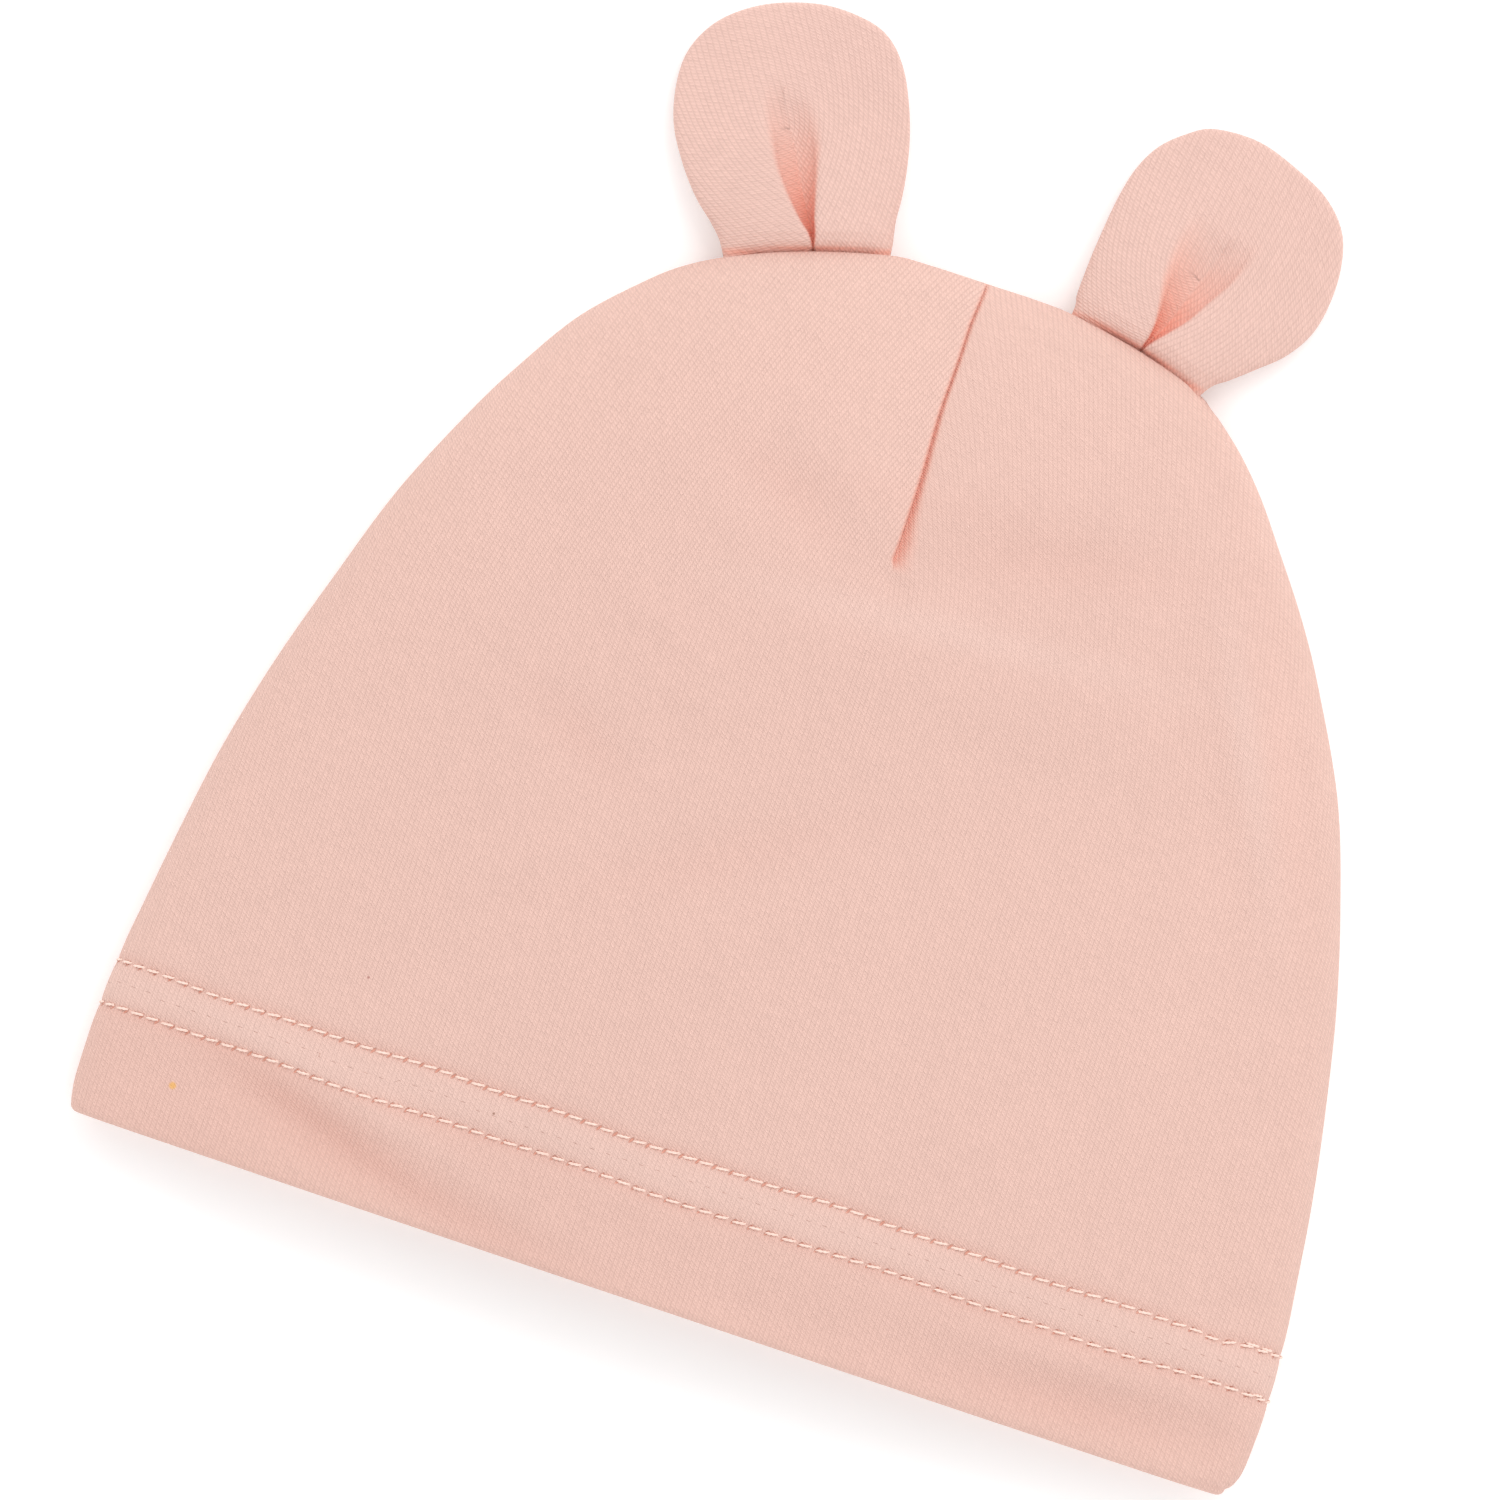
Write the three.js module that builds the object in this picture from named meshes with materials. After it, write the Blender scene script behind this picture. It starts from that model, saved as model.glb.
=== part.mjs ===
// Baby hat with ears: a soft jersey hat lying flat on its back, hem towards -Y, crown and ears towards +Y, +Z up.
// Two panels meet in one seam that runs up the left side, over the crown and down the right side. The cloth is turned up inside at the hem.
// Each ear is a double layer sewn into the crown seam, pleated at its base so that a hollow opens above the pleat.
// Millimetres. The origin is the centre of the box of the whole hat, at the height of the surface that it lies on.
import * as THREE from 'three';
import { mergeVertices } from 'three/addons/utils/BufferGeometryUtils.js';

// ---------------------------------------------------------------- driving sizes
const CLOTH = 1.2; // thickness of one layer of jersey
const GAP = 0.3; // clearance between neighbouring pieces
const SEAM_Z = 4.8; // height of the side and crown seam above the surface
const ROLL_UP = 3.9; // rise of the front panel's rolled edge above the seam
const ROLL_IN = 4.2; // width of that roll, seen from above
const BACK_ROLL = 5.0; // width of the back panel's rolled edge
const DOME_AT_HEM = 7.0; // rise of the front panel above its rolled edge, at the hem
const DOME_AT_CROWN = 12.2; // and at its highest, below the crown
const DOME_POWER = 2.5; // how flat the dome's top is, across and along
const DOME_Y = 98.2; // height of its highest point on the centre line
const HEM_TURN = 25; // depth of the turned-up hem
const HEM_SLOPE = { left: 1.0, right: 0.1, fades: 40 }; // how far the hem edge rises at each end, and the height where that has faded
const TAB = 2.0; // thickness of an ear where it is held in the seam
const EAR_EDGE = 1.4; // width of an ear's rounded edge
const DART = { endY: 110.2, depth: 1.3, width: 1.1 }; // crease from the crown down to endY
const MID_Y = 92.49; // half the length of the hat from hem to ear tops
const COLOUR = { body: 0xebc4b8, hem: 0xeac1b5, ear: 0xf1cbbf };

// ---------------------------------------------------------------- tables
// Outline of the body from the hem to the top of the crown: the left and right edge, the height on the centre line that each pair of half rows runs to,
// how far the seam is opened for an ear (0 or 1), and the rows up to the next line of the table, for the front and for the back panel.
const BODY = [
  { lx: -85.9, ly: 0.0, rx: 84.0, ry: 0.0, sy: 0.0, open: 0, front: 1, back: 1 },
  { lx: -87.15, ly: 1.0, rx: 85.7, ry: 1.0, sy: 1.0, open: 0, front: 1, back: 1 },
  { lx: -87.55, ly: 2.4, rx: 86.95, ry: 2.4, sy: 2.4, open: 0, front: 1, back: 1 },
  { lx: -87.9, ly: 5.7, rx: 87.7, ry: 5.7, sy: 5.7, open: 0, front: 1, back: 1 },
  { lx: -87.88, ly: 14.2, rx: 87.87, ry: 14.2, sy: 14.2, open: 0, front: 1, back: 1 },
  { lx: -87.2, ly: HEM_TURN, rx: 87.27, ry: HEM_TURN, sy: HEM_TURN, open: 0, front: 2, back: 1 },
  { lx: -86.28, ly: 33.0, rx: 86.35, ry: 33.0, sy: 32.6, open: 0, front: 2, back: 1 },
  { lx: -84.83, ly: 44.0, rx: 84.9, ry: 44.0, sy: 42.8, open: 0, front: 2, back: 1 },
  { lx: -82.8, ly: 56.8, rx: 82.63, ry: 56.8, sy: 53.9, open: 0, front: 2, back: 2 },
  { lx: -79.44, ly: 71.0, rx: 79.57, ry: 71.0, sy: 65.2, open: 0, front: 2, back: 2 },
  { lx: -75.14, ly: 85.2, rx: 75.47, ry: 85.2, sy: 75.0, open: 0, front: 2, back: 2 },
  { lx: -70.44, ly: 99.4, rx: 70.34, ry: 99.4, sy: 83.0, open: 0, front: 2, back: 2 },
  { lx: -64.03, ly: 113.6, rx: 62.78, ry: 113.6, sy: 88.8, open: 0, front: 2, back: 1 },
  { lx: -59.38, ly: 122.1, rx: 57.46, ry: 122.1, sy: 91.4, open: 0, front: 2, back: 1 },
  { lx: -53.97, ly: 130.6, rx: 51.19, ry: 130.6, sy: 93.4, open: 0, front: 2, back: 1 },
  { lx: -47.6, ly: 137.4, rx: 45.9, ry: 137.4, sy: 94.8, open: 0, front: 1, back: 1 },
  { lx: -41.9, ly: 142.3, rx: 40.2, ry: 143.1, sy: 95.8, open: 0, front: 1, back: 1 },
  { lx: -38.6, ly: 144.6, rx: 35.4, ry: 146.7, sy: 96.5, open: 1, front: 3, back: 2 },
  { lx: -24.7, ly: 150.2, rx: 23.8, ry: 151.1, sy: 97.3, open: 1, front: 2, back: 1 },
  { lx: -13.0, ly: 153.1, rx: 11.3, ry: 153.25, sy: 97.8, open: 1, front: 1, back: 1 },
  { lx: -8.8, ly: 153.35, rx: 7.4, ry: 153.4, sy: 98.0, open: 0, front: 1, back: 1 },
  { lx: -1.6, ly: 153.4, rx: 1.6, ry: 153.4, sy: 98.15, open: 0, front: 1, back: 1 },
  { lx: 0.0, ly: 153.4, rx: 0.0, ry: 153.4, sy: 98.2, open: 0, front: 0, back: 0 },
];

// Soft folds and dents of the front panel: middle, direction of the long axis in degrees, half length and half width, and height (a dent is negative).
const FOLDS = [
  { x: 21.5, y: 118.0, turn: 14, long: 17.0, wide: 6.0, high: -1.0 }, // hollow running right from the dart's end
  { x: -15.0, y: 115.5, turn: -28, long: 11.0, wide: 5.2, high: -0.7 }, // hollow running left from it
  { x: 0.4, y: 109.5, turn: 0, long: 3.4, wide: 3.0, high: -1.0 }, // dimple at the dart's end
  { x: 12.0, y: 98.0, turn: 4, long: 30.0, wide: 8.5, high: 0.8 }, // swell below the dart
  { x: 59.0, y: 99.0, turn: -64, long: 22.0, wide: 4.6, high: 0.8 }, // long soft ridge near the right edge
  { x: -25.5, y: 91.5, turn: -24, long: 14.0, wide: 3.2, high: 0.4 }, // faint ridges left of the middle
  { x: -21.5, y: 84.5, turn: -15, long: 9.0, wide: 2.6, high: 0.3 },
  { x: -34.5, y: 74.0, turn: -28, long: 9.0, wide: 4.2, high: -0.6 }, // dent left of the middle
  { x: -10.0, y: 64.0, turn: 31, long: 20.0, wide: 6.0, high: -0.7 }, // diagonal hollow across the middle
  { x: 20.0, y: 90.0, turn: -5, long: 11.0, wide: 4.0, high: -0.3 },
  { x: -76.0, y: 54.0, turn: -75, long: 11.0, wide: 5.0, high: -0.6 }, // hollow by the left edge
  { x: -52.0, y: 8.0, turn: -12, long: 22.0, wide: 4.5, high: -0.7 }, // waves of the hem
  { x: 62.0, y: 6.0, turn: 3, long: 20.0, wide: 4.0, high: -0.6 },
  { x: 78.0, y: 24.0, turn: 10, long: 9.0, wide: 3.0, high: -0.5 },
];

// Each ear from the tab held in the seam to its top: left edge, line of the pleat and right edge, then the depth and half width of the pleat's hollow, and
// the rows up to the next line.
const LEFT_EAR = [
  { lx: -35.2, ly: 141.2, sx: -23.6, sy: 145.6, rx: -13.7, ry: 148.7, deep: 0.0, half: 0.6, rows: 1 },
  { lx: -37.9, ly: 146.4, sx: -25.4, sy: 150.95, rx: -14.2, ry: 153.95, deep: 0.2, half: 0.6, rows: 1 },
  { lx: -40.2, ly: 149.0, sx: -26.0, sy: 152.1, rx: -14.5, ry: 155.6, deep: 3.6, half: 0.7, rows: 1 },
  { lx: -43.6, ly: 152.0, sx: -27.2, sy: 154.0, rx: -14.9, ry: 158.0, deep: 4.4, half: 1.1, rows: 1 },
  { lx: -47.0, ly: 156.2, sx: -28.9, sy: 156.6, rx: -15.1, ry: 161.2, deep: 4.3, half: 1.7, rows: 1 },
  { lx: -49.8, ly: 161.0, sx: -30.6, sy: 159.5, rx: -15.7, ry: 165.2, deep: 3.8, half: 2.3, rows: 1 },
  { lx: -51.2, ly: 166.5, sx: -32.2, sy: 162.6, rx: -16.7, ry: 169.5, deep: 3.0, half: 2.6, rows: 1 },
  { lx: -51.1, ly: 171.5, sx: -33.6, sy: 165.3, rx: -18.3, ry: 174.0, deep: 1.9, half: 2.7, rows: 1 },
  { lx: -49.0, ly: 176.1, sx: -34.8, sy: 167.4, rx: -20.6, ry: 178.6, deep: 0.9, half: 2.6, rows: 1 },
  { lx: -45.3, ly: 179.7, sx: -35.5, sy: 168.9, rx: -23.6, ry: 182.0, deep: 0.3, half: 2.4, rows: 1 },
  { lx: -40.3, ly: 182.4, sx: -36.0, sy: 169.8, rx: -27.4, ry: 183.7, deep: 0.0, half: 2.2, rows: 1 },
  { lx: -33.8, ly: 184.05, sx: -36.2, sy: 170.3, rx: -33.8, ry: 184.05, deep: 0.0, half: 2.0, rows: 0 },
];
const RIGHT_EAR = [
  { lx: 11.9, ly: 148.3, sx: 22.4, sy: 146.0, rx: 31.7, ry: 143.3, deep: 0.0, half: 0.6, rows: 1 },
  { lx: 12.5, ly: 153.95, sx: 23.8, sy: 151.75, rx: 34.4, ry: 148.6, deep: 0.2, half: 0.6, rows: 1 },
  { lx: 12.25, ly: 155.8, sx: 24.5, sy: 153.0, rx: 37.2, ry: 150.4, deep: 3.6, half: 0.7, rows: 1 },
  { lx: 12.3, ly: 158.4, sx: 25.6, sy: 155.0, rx: 40.5, ry: 153.4, deep: 4.4, half: 1.3, rows: 1 },
  { lx: 12.5, ly: 162.0, sx: 26.5, sy: 157.4, rx: 43.6, ry: 156.8, deep: 4.3, half: 2.2, rows: 1 },
  { lx: 12.9, ly: 166.2, sx: 27.4, sy: 160.2, rx: 46.0, ry: 160.6, deep: 3.8, half: 3.1, rows: 1 },
  { lx: 13.5, ly: 170.9, sx: 28.3, sy: 163.0, rx: 47.3, ry: 165.4, deep: 3.1, half: 4.0, rows: 1 },
  { lx: 14.6, ly: 175.5, sx: 29.1, sy: 165.4, rx: 47.3, ry: 171.0, deep: 2.1, half: 4.6, rows: 1 },
  { lx: 16.6, ly: 179.4, sx: 29.7, sy: 167.2, rx: 45.9, ry: 176.0, deep: 1.1, half: 4.8, rows: 1 },
  { lx: 19.7, ly: 182.4, sx: 30.1, sy: 168.5, rx: 42.6, ry: 179.8, deep: 0.4, half: 4.6, rows: 1 },
  { lx: 23.6, ly: 184.6, sx: 30.4, sy: 169.3, rx: 38.0, ry: 182.35, deep: 0.0, half: 4.2, rows: 1 },
  { lx: 30.6, ly: 184.85, sx: 30.5, sy: 169.8, rx: 30.6, ry: 184.85, deep: 0.0, half: 3.8, rows: 0 },
];

// Both ears, by the distance from the crown seam: the height of the middle layer, and how far the front and the back stand from it along the pleat. In the
// seam they are pressed flat, past it the folded pleat makes them thick, and towards the top they thin out and droop.
const EAR_PROFILE = [
  { from: -6.0, mid: 4.8, up: 1.0, down: 1.0 },
  { from: 1.1, mid: 4.8, up: 1.0, down: 1.0 },
  { from: 2.6, mid: 4.8, up: 3.2, down: 3.0 },
  { from: 4.2, mid: 4.75, up: 3.7, down: 3.2 },
  { from: 8.0, mid: 4.6, up: 3.5, down: 3.0 },
  { from: 14.0, mid: 4.1, up: 2.8, down: 2.4 },
  { from: 20.0, mid: 3.4, up: 2.3, down: 2.0 },
  { from: 27.0, mid: 2.6, up: 2.0, down: 1.8 },
  { from: 36.0, mid: 1.9, up: 1.8, down: 1.6 },
];

// ---------------------------------------------------------------- curves through the tables
const clamp01 = (t) => Math.min(1, Math.max(0, t));
const smooth = (t) => clamp01(t) ** 2 * (3 - 2 * clamp01(t));
// A quarter ellipse: 0 at the edge, where it stands upright, and 1 at its full width.
const quarter = (t) => Math.sqrt(Math.max(0, 1 - (1 - clamp01(t)) ** 2));

// Catmull-Rom through a column of a table. Beyond the last line an edge runs on as the other side's edge, so that the top stays round.
function column(table, name, i, t, mirrored = name) {
  const n = table.length - 1;
  const at = (k) => (k < 0 ? 2 * table[0][name] - table[1][name] : k > n ? table[2 * n - k][mirrored] : table[k][name]);
  const [a, b, c, d] = [at(i - 1), at(i), at(i + 1), at(i + 2)];
  return 0.5 * (2 * b + (c - a) * t + (2 * a - 5 * b + 4 * c - d) * t * t + (3 * b - 3 * c + d - a) * t ** 3);
}

// Straight between two lines, for columns that must not overshoot.
const between = (table, name, i, t) => table[i][name] + (t ? (table[i + 1][name] - table[i][name]) * t : 0);

// A smooth value from a table by its first column.
function profile(table, from, name) {
  const k = Math.min(table.length - 2, Math.max(0, table.findIndex((line) => line.from > from) - 1));
  const last = from >= table[table.length - 1].from;
  const [a, b] = last ? [table[table.length - 1], table[table.length - 1]] : [table[k], table[k + 1]];
  return a[name] + (b[name] - a[name]) * (last ? 0 : clamp01((from - a.from) / (b.from - a.from)));
}

// One row of the body: its two edge points, its centre point, and the inward normals of its edges.
function bodyRow(i, t) {
  const at = (dt) => {
    let [k, u] = [i, t + dt];
    if (u < 0 && k > 0) [k, u] = [k - 1, u + 1];
    return {
      l: new THREE.Vector2(column(BODY, 'lx', k, u, 'rx'), column(BODY, 'ly', k, u, 'ry')),
      r: new THREE.Vector2(column(BODY, 'rx', k, u, 'lx'), column(BODY, 'ry', k, u, 'ly')),
    };
  };
  const here = at(0);
  const [before, after] = [at(-0.01), at(0.01)];
  const dl = after.l.clone().sub(before.l).normalize();
  const dr = after.r.clone().sub(before.r).normalize();
  const last = i === BODY.length - 1;
  return {
    l: here.l,
    r: here.r,
    s: new THREE.Vector2(0, column(BODY, 'sy', i, t)),
    nl: last ? new THREE.Vector2(0, -1) : new THREE.Vector2(dl.y, -dl.x), // inward on the left, where the edge runs up
    nr: last ? new THREE.Vector2(0, -1) : new THREE.Vector2(-dr.y, dr.x),
    open: between(BODY, 'open', i, t),
  };
}

// The rows of a table, with the number between two lines taken from one of its columns.
function rowsOf(table, count) {
  const rows = [];
  table.forEach((line, i) => {
    if (i === table.length - 1) rows.push([i, 0]);
    for (let k = 0; k < line[count]; k++) rows.push([i, k / line[count]]);
  });
  return rows;
}

// ---------------------------------------------------------------- the front panel's relief
const seamOpening = (open) => GAP / 2 + open * (TAB / 2 + GAP / 2);
const hemRise = (x, y) => THREE.MathUtils.lerp(HEM_SLOPE.left, HEM_SLOPE.right, (x + 88) / 176) * (1 - smooth(y / HEM_SLOPE.fades));

function folds(x, y) {
  let z = 0;
  for (const f of FOLDS) {
    const a = THREE.MathUtils.degToRad(f.turn);
    const along = ((x - f.x) * Math.cos(a) + (y - f.y) * Math.sin(a)) / f.long;
    const across = (-(x - f.x) * Math.sin(a) + (y - f.y) * Math.cos(a)) / f.wide;
    z += f.high * Math.exp(-along * along - across * across);
  }
  return z - DART.depth * Math.exp(-((x / DART.width) ** 2)) * smooth((y - DART.endY + 3) / 6);
}

// Height of the front panel's outer face: x and y, distance in from the edge, share of the way out from the centre line, height on the centre line, seam.
function frontZ(x, y, inward, out, sy, open) {
  const gap = seamOpening(open);
  const dome = THREE.MathUtils.lerp(DOME_AT_CROWN, DOME_AT_HEM, clamp01(1 - sy / DOME_Y) ** DOME_POWER);
  return SEAM_Z + gap + (ROLL_UP - gap) * quarter(inward / ROLL_IN) + dome * (1 - out ** DOME_POWER) + folds(x, y) * smooth(inward / 7);
}

const backZ = (inward, open) => (SEAM_Z - seamOpening(open)) * (1 - quarter(inward / BACK_ROLL));

// ---------------------------------------------------------------- meshes
// A closed shell from two grids of points with the same rows and columns, the upper one facing up and the lower one down. Points that fall together are
// merged and faces with no area dropped, so a last row whose two halves lie on each other closes the shell there.
function shell(upper, lower, { farRim = false } = {}) {
  const [rows, cols] = [upper.length, upper[0].length];
  const points = [];
  const number = new Map();
  const index = (p) => {
    const key = [p.x, p.y, p.z].map((c) => Math.round(c * 2000)).join();
    if (!number.has(key)) {
      number.set(key, points.length / 3);
      points.push(p.x, p.y, p.z);
    }
    return number.get(key);
  };
  const u = upper.map((row) => row.map(index));
  const w = lower.map((row) => row.map(index));
  const faces = [];
  const tri = (a, b, c) => a !== b && b !== c && c !== a && faces.push(a, b, c);
  const quad = (a, b, c, d) => {
    tri(a, b, c);
    tri(a, c, d);
  };
  for (let i = 0; i < rows - 1; i++) {
    for (let j = 0; j < cols - 1; j++) {
      const left = j < (cols - 1) / 2; // the diagonal is mirrored about the centre line
      if (left) {
        quad(u[i][j], u[i][j + 1], u[i + 1][j + 1], u[i + 1][j]);
        quad(w[i][j], w[i + 1][j], w[i + 1][j + 1], w[i][j + 1]);
      } else {
        quad(u[i][j + 1], u[i + 1][j + 1], u[i + 1][j], u[i][j]);
        quad(w[i][j + 1], w[i][j], w[i + 1][j], w[i + 1][j + 1]);
      }
    }
    quad(u[i][0], u[i + 1][0], w[i + 1][0], w[i][0]);
    quad(u[i + 1][cols - 1], u[i][cols - 1], w[i][cols - 1], w[i + 1][cols - 1]);
  }
  for (let j = 0; j < cols - 1; j++) {
    quad(w[0][j], w[0][j + 1], u[0][j + 1], u[0][j]);
    if (farRim) quad(u[rows - 1][j], u[rows - 1][j + 1], w[rows - 1][j + 1], w[rows - 1][j]);
  }
  const geometry = new THREE.BufferGeometry();
  geometry.setAttribute('position', new THREE.Float32BufferAttribute(points, 3));
  geometry.setIndex(faces);
  return mergeVertices(geometry, 1e-4);
}

// Normals of a grid of points, the sum of the faces round each. Points that fall together share one. On the seam they lie level, and on the hem across it.
function normalsOf(grid, up) {
  const sums = new Map();
  const key = (p) => [p.x, p.y, p.z].map((c) => Math.round(c * 2000)).join();
  const add = (a, b, c) => {
    const n = b.clone().sub(a).cross(c.clone().sub(a));
    for (const p of [a, b, c]) sums.set(key(p), (sums.get(key(p)) ?? new THREE.Vector3()).add(n));
  };
  for (let i = 0; i < grid.length - 1; i++)
    for (let j = 0; j < grid[0].length - 1; j++) {
      const [a, b, c, d] = [grid[i][j], grid[i][j + 1], grid[i + 1][j + 1], grid[i + 1][j]];
      add(a, b, c);
      add(a, c, d);
      add(a, b, d);
      add(b, c, d);
    }
  return grid.map((row, i) =>
    row.map((p, j) => {
      const n = sums.get(key(p)).clone().multiplyScalar(up);
      if (i === 0) n.y = 0;
      if (j === 0 || j === row.length - 1) n.z = 0;
      return n.normalize();
    })
  );
}

// A grid moved along its normals.
const offset = (grid, normals, by) => grid.map((row, i) => row.map((p, j) => p.clone().addScaledVector(normals[i][j], by)));

// A panel's outer face as a grid of points. Each row has `cols` steps from an edge to the centre line: `ring` of them over the rolled edge.
function panelGrid(rows, ring, inner, rollWidth, heightAt) {
  return rows.map(([i, t]) => {
    const row = bodyRow(i, t);
    const half = (edge, inwardNormal) => {
      const way = row.s.clone().sub(edge);
      const length = way.length();
      const facing = Math.max(0.5, way.clone().normalize().dot(inwardNormal));
      const steps = [];
      for (let k = 0; k <= ring; k++) steps.push((rollWidth * (1 - Math.cos((Math.PI / 2) * (k / ring)))) / facing);
      for (let k = 1; k <= inner; k++) steps.push(THREE.MathUtils.lerp(rollWidth / facing, length, k / inner));
      return steps.map((along) => {
        const p = edge.clone().addScaledVector(way, along / length);
        const z = heightAt(p.x, p.y, along * facing, 1 - along / length, row.s.y, row.open);
        return new THREE.Vector3(p.x, p.y + hemRise(p.x, p.y), z);
      });
    };
    const left = half(row.l, row.nl);
    const right = half(row.r, row.nr);
    return [...left, ...right.reverse().slice(1)];
  });
}

function makeMesh(name, geometry, colour) {
  const mesh = new THREE.Mesh(geometry, new THREE.MeshStandardMaterial({ color: colour, roughness: 0.92, metalness: 0 }));
  mesh.name = name;
  return mesh;
}

// ---------------------------------------------------------------- panels and their turned-up hems
const frontOuter = panelGrid(rowsOf(BODY, 'front'), 4, 10, ROLL_IN, frontZ);
const frontNormals = normalsOf(frontOuter, 1);
const frontInner = offset(frontOuter, frontNormals, -CLOTH);

const backOuter = panelGrid(rowsOf(BODY, 'back'), 4, 5, BACK_ROLL, (x, y, inward, out, sy, open) => backZ(inward, open));
const backNormals = normalsOf(backOuter, -1);
const backInner = offset(backOuter, backNormals, -CLOTH);

const hemRows = 6; // lines of the table from the edge up to HEM_TURN
const hemLayer = (grid, normals, by) => offset(grid.slice(0, hemRows), normals.slice(0, hemRows), -by);

// ---------------------------------------------------------------- ears
function earGrids(table, seamLeft, seamRight, bulge) {
  const span = seamRight.clone().sub(seamLeft);
  const away = new THREE.Vector2(-span.y, span.x).normalize(); // away from the hat, square to the seam
  // Distance from the crown seam, which bulges a little beyond the straight line between the ear's corners.
  const fromSeam = (p) => {
    const q = p.clone().sub(seamLeft);
    const share = clamp01(q.dot(span) / span.lengthSq());
    return q.dot(away) - bulge * 4 * share * (1 - share);
  };
  const upper = [];
  const lower = [];
  for (const [i, t] of rowsOf(table, 'rows')) {
    const value = (name, mirrored) => column(table, name, i, t, mirrored);
    const spine = new THREE.Vector2(value('sx'), value('sy'));
    const [deep, half] = ['deep', 'half'].map((name) => between(table, name, i, t));
    const side = (edge) => {
      const way = spine.clone().sub(edge);
      const length = way.length();
      const steps = [0, 0.12, 0.45, 1].map((k) => k * EAR_EDGE);
      const hollow = [1.25, 0.85, 0.45, 0].map((k) => length - k * half);
      steps.push((EAR_EDGE + hollow[0]) / 2, ...hollow);
      return steps.map((along) => {
        const p = edge.clone().addScaledVector(way, along / length);
        const [mid, up, down] = ['mid', 'up', 'down'].map((name) => profile(EAR_PROFILE, fromSeam(p), name));
        const out = 1 - along / length;
        const round = quarter(along / EAR_EDGE);
        const swell = 1 - out * out;
        const thick = Math.min(1.2, up);
        const hollowDepth = deep * 0.5 * (1 + Math.cos(Math.PI * clamp01((length - along) / (half * 1.15))));
        return [
          new THREE.Vector3(p.x, p.y, mid + round * (thick + (up - thick) * swell) - hollowDepth),
          new THREE.Vector3(p.x, p.y, mid - round * (thick + (down - thick) * swell)),
        ];
      });
    };
    const left = side(new THREE.Vector2(value('lx', 'rx'), value('ly', 'ry')));
    const right = side(new THREE.Vector2(value('rx', 'lx'), value('ry', 'ly'))).reverse().slice(1);
    upper.push([...left, ...right].map((pair) => pair[0]));
    lower.push([...left, ...right].map((pair) => pair[1]));
  }
  return [upper, lower];
}

// ---------------------------------------------------------------- the hat
const body = new THREE.Group();
body.add(
  makeMesh('front_panel', shell(frontOuter, frontInner), COLOUR.body),
  makeMesh('back_panel', shell(backInner, backOuter), COLOUR.body),
  makeMesh(
    'front_hem',
    shell(hemLayer(frontOuter, frontNormals, CLOTH + GAP), hemLayer(frontOuter, frontNormals, 2 * CLOTH + GAP), { farRim: true }),
    COLOUR.hem
  ),
  makeMesh(
    'back_hem',
    shell(hemLayer(backOuter, backNormals, 2 * CLOTH + GAP), hemLayer(backOuter, backNormals, CLOTH + GAP), { farRim: true }),
    COLOUR.hem
  )
);

const ears = new THREE.Group();
const seamPoint = (x, y) => new THREE.Vector2(x, y);
ears.add(
  makeMesh('left_ear', shell(...earGrids(LEFT_EAR, seamPoint(-37.6, 145.2), seamPoint(-14.1, 153.1), 0.62)), COLOUR.ear),
  makeMesh('right_ear', shell(...earGrids(RIGHT_EAR, seamPoint(12.4, 153.2), seamPoint(33.65, 147.8), 0.77)), COLOUR.ear)
);

const group = new THREE.Group();
group.name = 'baby_hat_with_ears';
group.position.set(0, -MID_Y, 0);
group.add(body, ears);
group.updateMatrixWorld(true);

export default group;
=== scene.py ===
# Looks of the baby hat with ears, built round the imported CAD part.
# Shapes are worked out in millimetres with y measured from the hem, and turned into the row frame in metres at the end.
import math

import bmesh
import bpy
import numpy as np
from mathutils import Matrix, Vector


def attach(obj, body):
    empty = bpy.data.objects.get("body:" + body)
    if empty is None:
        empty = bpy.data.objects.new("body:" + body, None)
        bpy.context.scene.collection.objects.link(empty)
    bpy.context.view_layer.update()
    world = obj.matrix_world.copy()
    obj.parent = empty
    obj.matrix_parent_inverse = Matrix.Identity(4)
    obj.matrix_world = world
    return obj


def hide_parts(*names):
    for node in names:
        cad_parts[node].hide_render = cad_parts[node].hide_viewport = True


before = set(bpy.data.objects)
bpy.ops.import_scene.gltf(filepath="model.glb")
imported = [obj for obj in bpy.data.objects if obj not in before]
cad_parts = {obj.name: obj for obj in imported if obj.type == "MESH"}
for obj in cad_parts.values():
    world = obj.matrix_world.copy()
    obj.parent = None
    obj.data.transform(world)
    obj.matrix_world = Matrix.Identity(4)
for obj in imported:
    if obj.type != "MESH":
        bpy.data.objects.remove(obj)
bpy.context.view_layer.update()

# ---------------------------------------------------------------- driving sizes
CLOTH = 1.1  # one layer of jersey
FOLD = 2.4  # thickness of the folded hem, two layers
SEAM_Z = 4.8
SEAM_GAP = 0.03
ROLL_UP, ROLL_IN, BACK_ROLL = 3.9, 4.2, 5.0
DOME_AT_HEM, DOME_AT_CROWN, DOME_POWER, DOME_Y = 7.0, 12.2, 2.5, 98.2
HEM_TURN = 25.0
TAB = 2.0
MID_Y = 92.49
DART_END = 110.2
RNG = np.random.default_rng(7)

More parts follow.
